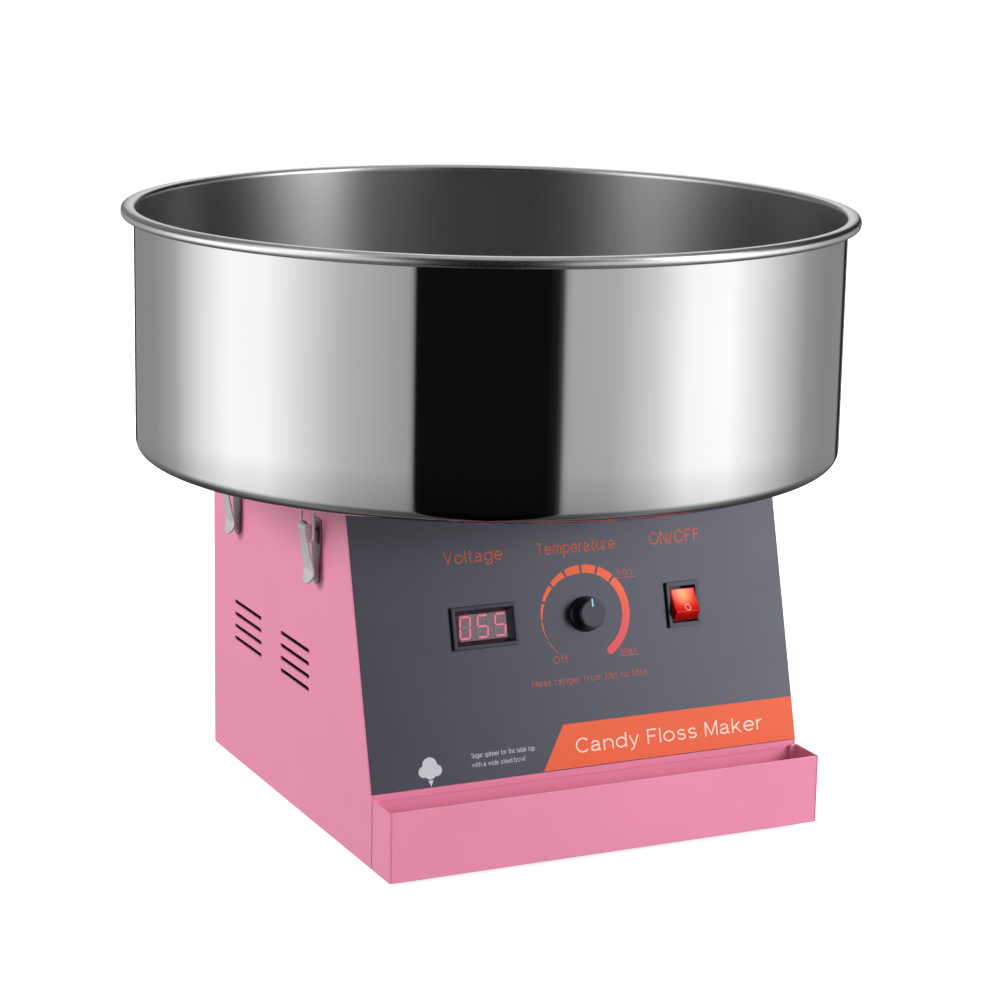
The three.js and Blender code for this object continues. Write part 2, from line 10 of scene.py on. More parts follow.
import bmesh
import bpy
from mathutils import Matrix, Vector


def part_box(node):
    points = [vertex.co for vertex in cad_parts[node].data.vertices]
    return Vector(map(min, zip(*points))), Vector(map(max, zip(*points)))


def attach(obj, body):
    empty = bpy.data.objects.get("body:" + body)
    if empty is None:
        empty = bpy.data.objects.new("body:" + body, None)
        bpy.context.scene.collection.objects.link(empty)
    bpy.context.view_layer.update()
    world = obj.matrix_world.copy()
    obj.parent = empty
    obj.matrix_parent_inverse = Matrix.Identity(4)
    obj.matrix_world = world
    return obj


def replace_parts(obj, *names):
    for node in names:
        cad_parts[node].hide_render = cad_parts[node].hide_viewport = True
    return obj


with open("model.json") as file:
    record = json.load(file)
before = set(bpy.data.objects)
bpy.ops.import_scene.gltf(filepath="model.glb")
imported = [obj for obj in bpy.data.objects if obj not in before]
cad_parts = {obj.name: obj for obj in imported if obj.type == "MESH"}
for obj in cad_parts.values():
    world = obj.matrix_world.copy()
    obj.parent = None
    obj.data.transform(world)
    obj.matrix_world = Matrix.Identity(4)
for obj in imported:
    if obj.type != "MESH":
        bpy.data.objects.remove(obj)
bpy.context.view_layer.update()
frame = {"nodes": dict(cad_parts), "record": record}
nodes = frame["nodes"]
slot_of = {part["node"]: part["material_slot"] for part in frame["record"]["subparts"]}

# ---- dimensions

MM = 0.001
SHARP_FROM = 30  # edges that turn by more degrees than this are shaded as sharp
FOOT = 6.0  # the body's underside stands this high
SIDES = {"left": -1, "right": 1}
ENDS = {"front": -1, "rear": 1}

BOWL_OUTER = 251.0
BOWL_SHEET = 1.0
BOWL_BOTTOM = FOOT + 240.5
BOWL_CORNER = 8.5
RIM_TOP = FOOT + 414.0
RIM_OUTER = 260.0
RIM_HEIGHT = 8.0
RIM_SQUARENESS = 0.7  # 1 is a round roll, less is squarer
NECK_RADIUS = 28.0

HALF_WIDTH = 162.0
BODY_FRONT = -173.5
BODY_BACK = 128.0
PANEL_FOOT = FOOT + 51.5
PANEL_LEAN = math.atan(0.2656)
PRINT = 0.09  # thickness of the ink layer on the panel film

DRAWER_FRONT = -204.5
DRAWER_STOP = BODY_FRONT - 1.4  # where the tray's open sides end, just before the body
DRAWER_HALF = 162.3
DRAWER_INNER_HALF = 158.2
DRAWER_REAR = -20.0
DRAWER_FLOOR = FOOT + 3.2
DRAWER_TOP = FOOT + 48.5
DRAWER_WALL_TOP = FOOT + 46.0
SHEET = 1.2

METER = (-70.2, 102.5)
KNOB = (6.6, 103.4)
DIAL_RADIUS = 34.0
DIAL_WIDTH = 5.8
DIAL_GAP = 1.6  # from each end of a mark to the line between two marks
DIAL_GAPS = [-137, -116, -93, -71, -48, -25, -1.4, 21, 45]  # all of the dial's angles are clockwise from up
DIAL_WIDEST = -10  # the scale has its full width from here on
DIAL_END = 147
SWITCH = (82.0, 103.2)
ROCKER_TILT = -23  # degrees, tipped to on
INLET = (90.0, FOOT + 45.0)

LATCH_Y = 76.5
HINGE = (8.2, FOOT + 212.0)
BAIL_PIVOT = (7.3, FOOT + 205.3)
BAIL_TOP = (7.4, FOOT + 233.0)
LATCH_SHEET = 1.2
WIRE_RADIUS = 0.8

HEAD_BOTTOM = FOOT + 262.0
HEAD_PLATE = HEAD_BOTTOM + 3.0
HEAD_RADIUS = 70.0
SHAFT_BORE = 6.3

# ---- camera

CAMERA_PLACE = (-0.8747, -1.8404, 0.6743)  # metres
CAMERA_YAW = math.radians(25.698)
CAMERA_PITCH = math.radians(12.931)
CAMERA_ROLL = math.radians(-1.082)
CAMERA_LENS = 104.13


def add_camera():
    data = bpy.data.cameras.new("camera")
    data.sensor_width = 36
    data.lens = CAMERA_LENS
    data.clip_end = 60
    level = math.cos(CAMERA_PITCH)
    forward = Vector((math.sin(CAMERA_YAW) * level, math.cos(CAMERA_YAW) * level, -math.sin(CAMERA_PITCH)))
    across = Vector((math.cos(CAMERA_YAW), -math.sin(CAMERA_YAW), 0))
    down = forward.cross(across)
    right = math.cos(CAMERA_ROLL) * across + math.sin(CAMERA_ROLL) * down
    up = math.sin(CAMERA_ROLL) * across - math.cos(CAMERA_ROLL) * down
    camera = bpy.data.objects.new("camera", data)
    axes = Matrix((right, up, -forward)).transposed()
    camera.matrix_world = Matrix.Translation(CAMERA_PLACE) @ axes.to_4x4()
    bpy.context.scene.collection.objects.link(camera)
    bpy.context.scene.camera = camera


# ---- shader helpers

finishes = {}  # every material made here, by its own name


class Shader:
    """A material's node tree, with short calls for the nodes that the finishes share."""

    def __init__(self, name):
        material = bpy.data.materials.new(name)
        material.use_nodes = True
        finishes[name] = material
        self.tree = material.node_tree
        self.surface = self.tree.nodes["Principled BSDF"]
        self.coordinates = self.add("ShaderNodeTexCoord").outputs["Object"]

    def add(self, kind, **settings):
        node = self.tree.nodes.new(kind)
        for key, value in settings.items():
            setattr(node, key, value)
        return node

    def link(self, source, target):
        self.tree.links.new(source, target)

    def set(self, **values):
        for key, value in values.items():
            socket = self.surface.inputs[key.replace("_", " ")]
            socket.default_value = (*value, 1) if isinstance(value, tuple) else value

    def scaled(self, scale):
        mapping = self.add("ShaderNodeMapping")
        mapping.inputs["Scale"].default_value = scale
        self.link(self.coordinates, mapping.inputs["Vector"])
        return mapping.outputs["Vector"]

    def noise(self, scale, detail, stretch=(1, 1, 1)):
        node = self.add("ShaderNodeTexNoise")
        node.inputs["Scale"].default_value = scale
        node.inputs["Detail"].default_value = detail
        self.link(self.scaled(stretch), node.inputs["Vector"])
        return node.outputs["Fac"]

    def ramp(self, source, stops):
        node = self.add("ShaderNodeValToRGB")
        fill_ramp(node.color_ramp, stops)
        self.link(source, node.inputs["Fac"])
        return node.outputs["Color"]

    def remap(self, source, low, high, start=0.0, end=1.0):
        node = self.add("ShaderNodeMapRange")
        for key, value in zip(("From Min", "From Max", "To Min", "To Max"), (start, end, low, high)):
            node.inputs[key].default_value = value
        self.link(source, node.inputs["Value"])
        return node.outputs["Result"]

    def vary_colour(self, source, dark, light):
        self.link(self.ramp(source, [(0.3, dark), (0.7, light)]), self.surface.inputs["Base Color"])

    def vary_roughness(self, source, low, high):
        self.link(self.remap(source, low, high, 0.3, 0.7), self.surface.inputs["Roughness"])

    def bump(self, source, height):
        """Adds a bump layer of the given height in millimetres on top of the ones before."""
        node = self.add("ShaderNodeBump")
        node.inputs["Distance"].default_value = height * MM
        self.link(source, node.inputs["Height"])
        normal = self.surface.inputs["Normal"]
        if normal.is_linked:
            self.link(normal.links[0].from_socket, node.inputs["Normal"])
        self.link(node.outputs["Normal"], normal)


def fill_ramp(ramp, stops):
    while len(ramp.elements) < len(stops):
        ramp.elements.new(0.5)
    for element, (position, color) in zip(ramp.elements, stops):
        element.position = position
        element.color = (*color, 1)


def grey(value):
    return (value, value, value)


# ---- finishes


def polished_steel(name, tint, low, high, height, spread):
    """Spun stainless steel: marks round the spin axis that smear its reflections up and down."""
    shader = Shader(name)
    shader.set(Metallic=1.0, Anisotropic=spread, Anisotropic_Rotation=0.25, IOR=2.5)
    tangent = shader.add("ShaderNodeTangent", direction_type="RADIAL", axis="Z")
    shader.link(tangent.outputs["Tangent"], shader.surface.inputs["Tangent"])
    marks = shader.noise(1.0, 4.0, (18, 18, 2600))
    cloud = shader.noise(9.0, 3.0)
    shader.vary_colour(cloud, tuple(0.965 * c for c in tint), tint)
    shader.vary_roughness(marks, low, high)
    shader.bump(marks, height)


def coat(name, colour, roughness, *bumps, **settings):
    """A finish whose colour, roughness and surface each follow a noise of their own.

    The colour and the roughness give the noise's scale and detail and the two ends that it runs between; each
    bump gives scale, detail and height in millimetres.
    """
    shader = Shader(name)
    shader.set(**settings)
    shader.vary_colour(shader.noise(*colour[:2]), *colour[2:])
    shader.vary_roughness(shader.noise(*roughness[:2]), *roughness[2:])
    for *noise, height in bumps:
        shader.bump(shader.noise(*noise), height)


def print_ink(name, dark, light):
    coat(name, (900.0, 2.0, dark, light), (300.0, 2.0, 0.32, 0.42), (1800.0, 2.0, 0.001))


def moulded_plastic(name, dark, light, low, high):
    coat(name, (120.0, 3.0, dark, light), (250.0, 3.0, low, high), (2600.0, 2.0, 0.01))


def dial_ink():
    """The dial's ink runs from orange at the top to coral at the foot."""
    shader = Shader("dial_ink")
    split = shader.add("ShaderNodeSeparateXYZ")
    shader.link(shader.coordinates, split.inputs[0])
    low, high = (panel_point(0, KNOB[1] + rise, 0).z for rise in (-DIAL_RADIUS, DIAL_RADIUS))
    height = shader.remap(split.outputs["Z"], 0.0, 1.0, low, high)
    speck = shader.remap(shader.noise(900.0, 2.0), -0.02, 0.02)
    total = shader.add("ShaderNodeMath", operation="ADD")
    shader.link(height, total.inputs[0])
    shader.link(speck, total.inputs[1])
    color = shader.ramp(total.outputs[0], [(0.25, (0.60, 0.060, 0.072)), (0.75, (0.74, 0.100, 0.030))])
    shader.link(color, shader.surface.inputs["Base Color"])
    shader.vary_roughness(shader.noise(300.0, 2.0), 0.32, 0.42)


def worn_metal(name, dark, light, low, high, stretch=(1, 1, 1), marks=0.01, metallic=1.0):
    """Sheet or turned metal: brushing along the stretched direction and a cloudy tarnish."""
    shader = Shader(name)
    shader.set(Metallic=metallic)
    grain = shader.noise(900.0, 4.0, stretch)
    shader.vary_colour(shader.noise(160.0, 4.0), dark, light)
    shader.vary_roughness(grain, low, high)
    shader.bump(grain, marks)


def segment(name, color, glow):
    shader = Shader(name)
    speck = shader.noise(1400.0, 2.0)
    shader.vary_colour(speck, tuple(0.9 * c for c in color), color)
    shader.vary_roughness(speck, 0.3, 0.4)
    if glow:
        shader.set(Emission_Color=(1.0, 0.14, 0.28))
        strength = shader.remap(speck, 0.85 * glow, glow, 0.3, 0.7)
        shader.link(strength, shader.surface.inputs["Emission Strength"])


def lit_lens():
    """Translucent red rocker: a lamp glows behind its upper end and the lower end stays dark."""
    shader = Shader("lit_red_lens")
    shader.set(Specular_IOR_Level=0.55, Subsurface_Weight=0.2, Subsurface_Scale=0.004)
    shader.vary_colour(shader.noise(500.0, 2.0), (0.22, 0.003, 0.002), (0.27, 0.005, 0.003))
    shader.vary_roughness(shader.noise(300.0, 2.0), 0.16, 0.22)
    lamp = panel_point(SWITCH[0] - 1.0, SWITCH[1] + 7.5, 6.0)
    away = shader.add("ShaderNodeVectorMath", operation="DISTANCE")
    away.inputs[1].default_value = lamp
    shader.link(shader.coordinates, away.inputs[0])
    reach = shader.remap(away.outputs["Value"], 0.0, 1.0, 0.0, 20 * MM)
    glow = shader.ramp(reach, [
        (0.0, (1.0, 0.50, 0.20)), (0.22, (0.92, 0.34, 0.15)), (0.34, (0.72, 0.15, 0.08)),
        (0.45, (0.58, 0.03, 0.014)), (0.60, (0.46, 0.004, 0.002)), (0.76, (0.24, 0.001, 0.0)),
        (0.92, (0.03, 0.0, 0.0)),
    ])
    shader.link(glow, shader.surface.inputs["Emission Color"])
    # The glow is painted stronger on faces that look straight out of the panel and weaker on its sides.
    facing = shader.add("ShaderNodeVectorMath", operation="DOT_PRODUCT")
    shader.link(shader.add("ShaderNodeNewGeometry").outputs["Normal"], facing.inputs[0])
    facing.inputs[1].default_value = (0, -math.cos(PANEL_LEAN), math.sin(PANEL_LEAN))
    strength = shader.remap(facing.outputs["Value"], 0.12, 1.0, 0.1, 0.85)
    shader.link(strength, shader.surface.inputs["Emission Strength"])


def winding():
    shader = Shader("copper_winding")
    shader.set(Metallic=1.0)
    turns = shader.noise(1.0, 2.0, (120, 120, 1400))
    shader.vary_colour(turns, (0.40, 0.13, 0.045), (0.62, 0.23, 0.09))
    shader.vary_roughness(turns, 0.25, 0.4)
    shader.bump(turns, 0.08)


def make_finishes():
    polished_steel("polished_steel", (0.665, 0.665, 0.67), 0.03, 0.07, 0.0006, 0.6)
    polished_steel("satin_steel", (0.57, 0.57, 0.575), 0.34, 0.42, 0.002, 0.88)
    # The rolled rim takes a much lighter copy of the bowl's steel: a painted highlight along the rim.
    worn_metal("rim_steel", (0.90, 0.90, 0.905), (0.95, 0.95, 0.955), 0.22, 0.28, (1, 1, 3), 0.002)
    worn_metal("latch_steel", (0.62, 0.61, 0.60), (0.70, 0.69, 0.67), 0.32, 0.40, (1, 1, 0.08), 0.004, 0.45)
    worn_metal("cast_aluminium", (0.62, 0.62, 0.63), (0.72, 0.72, 0.73), 0.2, 0.34, (1, 1, 3))
    worn_metal("plain_steel", (0.36, 0.365, 0.375), (0.47, 0.475, 0.485), 0.3, 0.45, (1, 1, 4))
    worn_metal("brass_parts", (0.55, 0.36, 0.12), (0.68, 0.46, 0.17), 0.22, 0.36)
    winding()
    coat("pink_powder_coat", (14.0, 2.0, (0.71, 0.205, 0.337), (0.74, 0.218, 0.354)),
         (60.0, 3.0, 0.36, 0.44), (1500.0, 2.0, 0.012), (220.0, 2.0, 0.01), Specular_IOR_Level=1.0,
         Coat_Weight=0.3, Coat_Roughness=0.35, Sheen_Weight=0.2, Sheen_Roughness=0.45)
    coat("dark_panel_film", (8.0, 2.0, (0.0085, 0.009, 0.015), (0.0095, 0.010, 0.017)),
         (40.0, 3.0, 0.22, 0.25), (1800.0, 2.0, 0.0008),
         IOR=1.6, Specular_IOR_Level=1.0, Specular_Tint=(0.84, 0.85, 1.0))
    coat("black_plastic", (120.0, 3.0, (0.008, 0.008, 0.012), (0.011, 0.011, 0.016)),
         (250.0, 3.0, 0.18, 0.24), (900.0, 2.0, 0.002),
         Specular_IOR_Level=1.0, Specular_Tint=(0.82, 0.83, 1.0))
    coat("display_window", (400.0, 2.0, (0.120, 0.092, 0.108), (0.150, 0.115, 0.134)),
         (200.0, 2.0, 0.18, 0.26), (2000.0, 2.0, 0.003))
    coat("circuit_board", (300.0, 4.0, (0.008, 0.075, 0.030), (0.020, 0.150, 0.060)),
         (120.0, 2.0, 0.35, 0.6), (700.0, 2.0, 0.03))
    print_ink("orange_ink", (0.63, 0.080, 0.021), (0.68, 0.092, 0.027))
    print_ink("faded_ink", (0.40, 0.066, 0.055), (0.46, 0.076, 0.062))
    print_ink("pale_ink", (0.43, 0.43, 0.47), (0.49, 0.49, 0.53))
    print_ink("cream_ink", (0.74, 0.55, 0.46), (0.80, 0.61, 0.52))
    dial_ink()
    moulded_plastic("pointer_paint", (0.30, 0.62, 0.86), (0.40, 0.74, 0.96), 0.3, 0.4)
    moulded_plastic("black_rubber", grey(0.011), grey(0.018), 0.65, 0.85)
    moulded_plastic("brown_phenolic", (0.085, 0.030, 0.014), (0.12, 0.045, 0.02), 0.45, 0.6)
    moulded_plastic("carbon_brush", (0.012, 0.012, 0.013), (0.022, 0.022, 0.024), 0.55, 0.7)
    segment("lit_segment", (0.46, 0.10, 0.16), 0.40)
    segment("dark_segment", (0.165, 0.120, 0.145), 0.0)
    lit_lens()


# ---- mesh helpers


def shift(x, y, z):
    """A move given in millimetres, as a matrix in metres."""
    return Matrix.Translation(Vector((x, y, z)) * MM)


def panel_matrix():
    """From the panel's own frame (across, up the panel, out of it) to the row frame, in metres."""
    across = Vector((1, 0, 0))
    up = Vector((0, math.sin(PANEL_LEAN), math.cos(PANEL_LEAN)))
    out = Vector((0, -math.cos(PANEL_LEAN), math.sin(PANEL_LEAN)))
    turn = Matrix((across, up, out)).transposed().to_4x4()
    return shift(0, BODY_FRONT, PANEL_FOOT) @ turn


def panel_point(x, up, out):
    return panel_matrix() @ (Vector((x, up, out)) * MM)


def latch_matrix(end, side):
    """From a latch's own frame (out from the body's side, along it, up) to the row frame."""
    turn = Matrix.Rotation(math.pi if side == "left" else 0, 4, "Z")
    return shift(SIDES[side] * HALF_WIDTH, ENDS[end] * LATCH_Y, 0) @ turn


def piece(name, bm, finish, body, matrix=None):
    """Turns a bmesh in millimetres into a finished object that rides on a CAD body."""
    bmesh.ops.remove_doubles(bm, verts=bm.verts, dist=1e-4)
    bmesh.ops.recalc_face_normals(bm, faces=bm.faces)
    bmesh.ops.transform(bm, matrix=Matrix.Scale(MM, 4), verts=bm.verts)
    if matrix is not None:
        bmesh.ops.transform(bm, matrix=matrix, verts=bm.verts)
        if matrix.determinant() < 0:
            bmesh.ops.reverse_faces(bm, faces=bm.faces)
    mesh = bpy.data.meshes.new(name)
    bm.to_mesh(mesh)
    bm.free()
    mesh.polygons.foreach_set("use_smooth", [True] * len(mesh.polygons))
    mesh.set_sharp_from_angle(angle=math.radians(SHARP_FROM))
    mesh.materials.append(finishes[finish])
    made = bpy.data.objects.new(name, mesh)
    bpy.context.scene.collection.objects.link(made)
    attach(made, body)
    return made


def round_edges(made, width, segments, angle=30):
    """Rounds an object's sharp edges by a few tenths of a millimetre, as sheet or moulded parts have."""
    bevel = made.modifiers.new("rounded_edges", "BEVEL")
    bevel.width = width * MM
    bevel.segments = segments
    bevel.limit_method = "ANGLE"
    bevel.angle_limit = math.radians(angle)
    weigh = made.modifiers.new("even_shading", "WEIGHTED_NORMAL")
    weigh.weight = 60
    return made


def soften_cad(node, width, segments=3):
    """Joins a CAD node's facets into whole faces, then rounds its edges; its own mesh stays as packed."""
    made = nodes[node]
    weld = made.modifiers.new("weld", "WELD")
    weld.merge_threshold = 1e-6
    whole = made.modifiers.new("whole_faces", "DECIMATE")
    whole.decimate_type = "DISSOLVE"
    whole.angle_limit = math.radians(1)
    round_edges(made, width, segments)


def turned(outline, segments):
    """A solid turned about Z from a closed outline of (radius, height) points."""
    bm = bmesh.new()
    rings = [[bm.verts.new((r * x, r * y, z)) for r, z in outline] for x, y in circle(1, segments)]
    for here, after in zip(rings, rings[1:] + rings[:1]):
        for i in range(len(outline)):
            j = (i + 1) % len(outline)
            if outline[i][0] == outline[j][0] == 0:
                continue
            corners = [here[i], after[i], after[j], here[j]]
            if outline[i][0] == 0:
                del corners[1]
            elif outline[j][0] == 0:
                del corners[2]
            bm.faces.new(corners)
    return bm


def arc(cx, cy, radius, start, end, steps):
    """Points along an arc, angles in degrees."""
    points = []
    for i in range(steps + 1):
        angle = math.radians(start + (end - start) * i / steps)
        points.append((cx + radius * math.cos(angle), cy + radius * math.sin(angle)))
    return points


def circle(radius, steps):
    return arc(0, 0, radius, 0, 360, steps)[:-1]


def normals_along(path):
    """The unit normal to the left of an open 2-D path at each of its points, with the mitre length."""
    found = []
    for i, here in enumerate(path):
        before = Vector(path[max(i - 1, 0)])
        after = Vector(path[min(i + 1, len(path) - 1)])
        along = (after - before).normalized()
        entry = (Vector(here) - before).normalized() if i else along
        found.append((Vector((-along.y, along.x)), 1 / max(along.dot(entry), 0.5)))
    return found


def sheet_outline(path, thickness):
    left, right = [], []
    for point, (normal, mitre) in zip(path, normals_along(path)):
        offset = normal * (thickness / 2 * mitre)
        left.append((point[0] + offset.x, point[1] + offset.y))
        right.append((point[0] - offset.x, point[1] - offset.y))
    return left + right[::-1]


def skin(bm, rings, closed=False):
    """Covers rings of equally many corners with faces, and caps the two ends unless the rings close up."""
    pairs = list(zip(rings, rings[1:])) + ([(rings[-1], rings[0])] if closed else [])
    for here, after in pairs:
        for i in range(len(here)):
            j = (i + 1) % len(here)
            bm.faces.new([here[i], here[j], after[j], after[i]])
    if not closed:
        bm.faces.new(rings[0][::-1])
        bm.faces.new(rings[-1])
    return bm


def prism(outline, low, high, axes="xyz"):
    """An outline pushed along the third of the named axes."""
    order = ["xyz".index(a) for a in axes]

    def corner(u, v, w):
        place = [0.0, 0.0, 0.0]
        place[order[0]], place[order[1]], place[order[2]] = u, v, w
        return place

    bm = bmesh.new()
    return skin(bm, [[bm.verts.new(corner(u, v, level)) for u, v in outline] for level in (low, high)])


def box(x0, x1, y0, y1, z0, z1):
    return prism([(x0, y0), (x1, y0), (x1, y1), (x0, y1)], z0, z1)


def merged(*parts):
    """Several bmeshes as one, each still closed on its own."""
    whole = bmesh.new()
    for part in parts:
        mesh = bpy.data.meshes.new("part")
        part.to_mesh(mesh)
        part.free()
        whole.from_mesh(mesh)
        bpy.data.meshes.remove(mesh)
    return whole


def strip(path, half_widths, thickness):
    """A bent strip of sheet: a path in the x-z plane with a half width along y at each point."""
    bm = bmesh.new()
    stations = []
    for (x, z), half, (normal, mitre) in zip(path, half_widths, normals_along(path)):
        offset = normal * (thickness / 2 * mitre)
        stations.append([
            bm.verts.new((x + sign * offset.x, y, z + sign * offset.y))
            for sign, y in ((1, -half), (1, half), (-1, half), (-1, -half))
        ])
    return skin(bm, stations)


def ribbon(path, width, low, high):
    """A flat raised line of even width along a path in the x-y plane."""
    bm = bmesh.new()
    stations = []
    for point, (normal, mitre) in zip(path, normals_along(path)):
        offset = normal * (width / 2 * mitre)
        stations.append([
            bm.verts.new((point[0] + sign * offset.x, point[1] + sign * offset.y, z))
            for sign, z in ((1, low), (-1, low), (-1, high), (1, high))
        ])
    return skin(bm, stations)


def rod(points, radius, sides=14, closed=False):
    """A round bar that follows points, with its section carried along without twisting."""
    bm = bmesh.new()
    path = [Vector(p) for p in points]
    reference = None
    rings = []
    for i, here in enumerate(path):
        before = path[i - 1] if closed or i else here
        after = path[(i + 1) % len(path)] if closed or i < len(path) - 1 else here
        along = (after - before).normalized()
        if reference is None:
            reference = along.orthogonal().normalized()
        reference = (reference - along * reference.dot(along)).normalized()
        other = along.cross(reference)
        rings.append([bm.verts.new(here + x * reference + y * other) for x, y in circle(radius, sides)])
    return skin(bm, rings, closed)


# ---- bowl


def flattened(share):
    """Turns a circle's coordinate into that of a squarer roll with flattened sides."""
    return math.copysign(abs(share) ** RIM_SQUARENESS, share)


def bowl_outline():
    middle = BOWL_OUTER - BOWL_SHEET / 2
    floor = BOWL_BOTTOM + BOWL_SHEET / 2
    corner = BOWL_CORNER - BOWL_SHEET / 2
    path = [(NECK_RADIUS, BOWL_BOTTOM + 13.5), (NECK_RADIUS, BOWL_BOTTOM + 8)]
    path += arc(NECK_RADIUS + 3, floor + 3, 3, 180, 270, 6)
    path += [(r, floor) for r in (60, 100, 140, 180, 215)]
    path += arc(middle - corner, floor + corner, corner, 270, 360, 14)
    path += [(middle, z) for z in (280, 310, 340, 370, 395)]
    roll_out = (RIM_OUTER - BOWL_SHEET / 2 - middle) / 2
    roll_up = (RIM_HEIGHT - BOWL_SHEET) / 2
    roll_height = RIM_TOP - RIM_HEIGHT / 2
    for out, up in arc(0, 0, 1, 180, -110, 36):
        path.append((middle + roll_out * (1 + flattened(out)), roll_height + roll_up * flattened(up)))
    return sheet_outline(path, BOWL_SHEET)


def add_bowl():
    made = piece("bowl_polished", turned(bowl_outline(), 256), "polished_steel", "root")
    made.data.materials.append(finishes["satin_steel"])
    made.data.materials.append(finishes["rim_steel"])
    roll_foot = (RIM_TOP - RIM_HEIGHT) * MM
    for face in made.data.polygons:
        centre = face.center
        radius = math.hypot(centre.x, centre.y)
        outward = (face.normal.x * centre.x + face.normal.y * centre.y) / radius
        inside = outward < -0.5 or (face.normal.z > 0.3 and centre.z < (BOWL_BOTTOM + 40) * MM)
        # Faces of the roll take the lighter rim steel: a painted highlight.
        if centre.z > roll_foot:
            face.material_index = 2
        elif inside:
            face.material_index = 1
    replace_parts(made, "bowl")


# ---- body


def add_body():
    for node, width in (("body_shell", 0.9), ("back_panel", 0.5), ("base_plate", 0.4)):
        soften_cad(node, width)
    soften_cad("front_panel", 0.3, 2)
    soften_cad("panel_film", 0.15, 2)


def add_drawer():
    """The tray and the box behind it, as plates whose rounded edges meet in fine seams."""
    half, inner = DRAWER_HALF, DRAWER_INNER_HALF
    front, stop, rear = DRAWER_FRONT, DRAWER_STOP, DRAWER_REAR
    low, floor, top, wall_top = FOOT, DRAWER_FLOOR, DRAWER_TOP, DRAWER_WALL_TOP
    plates = {
        "front": (-half + SHEET, half - SHEET, front, front + SHEET, low, top),
        "tray_floor": (-half + SHEET, half - SHEET, front + SHEET, stop, floor, floor + SHEET),
        "box_floor": (-inner, inner, stop, rear, floor, floor + SHEET),
        "box_rear": (-inner + SHEET, inner - SHEET, rear - SHEET, rear, floor + SHEET, wall_top),
    }
    for side, sign in SIDES.items():
        spans = {
            "side": (half - SHEET, half, front, stop, low, top),
            "corner": (inner - SHEET, half - SHEET, stop - SHEET, stop, low, top),
            "box_side": (inner - SHEET, inner, stop, rear, floor + SHEET, wall_top),
        }
        for name, (a, b, *rest) in spans.items():
            plates[f"{name}_{side}"] = (min(sign * a, sign * b), max(sign * a, sign * b), *rest)
    for name, corners in plates.items():
        round_edges(piece(f"drawer_{name}", box(*corners), "pink_powder_coat", "drawer"), 0.5, 4)
    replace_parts(bpy.data.objects["drawer_front"], "drawer")


def add_feet():
    top = FOOT - 0.3
    outline = [(0, 0)] + arc(8.6, 1.0, 1.0, -90, -5, 4)
    outline += [(10.2, 3.0), (10.9, top - 0.3), (10.6, top), (0, top)]
    for end in ENDS:
        for side in SIDES:
            node = f"foot_{end}_{side}"
            low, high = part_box(node)
            place = Matrix.Translation(((low.x + high.x) / 2, (low.y + high.y) / 2, 0))
            foot = piece(f"{node}_rubber", turned(outline, 48), "black_rubber", "root", matrix=place)
            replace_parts(foot, node)


def dome(radius, height, angles, power):
    """Half the outline of a rounded head, from its top outwards; a power under 1 makes it fuller."""
    line = [(0, height)]
    for angle in angles:
        turn = math.radians(angle)
        line.append((radius * math.sin(turn), height * math.cos(turn) ** power))
    return line


def pan_head(radius, height):
    """A screw head with a cross recess, standing on z = 0."""
    outline = dome(radius, height, (20, 40, 60, 75), 0.6)
    outline += [(radius, height * 0.35), (radius, 0.0), (0, 0.0)]
    long, short = radius * 0.55, radius * 0.11
    across = box(-long, long, -short, short, height * 0.9, height * 1.06)
    upright = box(-short, short, -long, long, height * 0.9, height * 1.055)
    return turned(outline, 32), [across, upright]


def add_back_screws():
    face = shift(0, BODY_BACK, 0) @ Matrix.Rotation(-math.pi / 2, 4, "X")
    screws = [(x, 0.0, z, 3.4) for x in (-153, 153) for z in (FOOT + 14, FOOT + 121, FOOT + 228)]
    screws += [(INLET[0] + side * 19.5, 3.0, INLET[1], 2.6) for side in (-1, 1)]
    for i, (*place, radius) in enumerate(screws):
        head, slots = pan_head(radius, 1.7)
        seat = shift(*place) @ face
        piece(f"back_screw_{i}", head, "latch_steel", "root", matrix=seat)
        piece(f"back_screw_{i}_recess", merged(*slots), "black_plastic", "root", matrix=seat)


# ---- panel print


def on_panel(name, bm, finish):
    return piece(name, bm, finish, "root", panel_matrix())


def printed(name, outline, finish, top=PRINT):
    return on_panel(name, prism(outline, 0.02, top), finish)


def oval(cx, cy, rx, ry, start, end):
    """Points along part of an ellipse, angles in degrees."""
    steps = max(4, int(abs(end - start) / 12))
    return [(cx + rx * x, cy + ry * y) for x, y in arc(0, 0, 1, start, end, steps)]


def round_bowl(half_width=0.28):
    return oval(half_width, 0.365, half_width, 0.315, 0, 372)


def arch(left, right):
    """The shoulder of a lower-case n that springs from one stem and comes down as the next."""
    middle = (left + right) / 2
    return oval(middle, 0.44, right - middle, 0.24, 178, 0) + [(right, 0)]


STEM, SHORT_STEM = [(0, 0), (0, 1)], [(0, 0), (0, 0.73)]

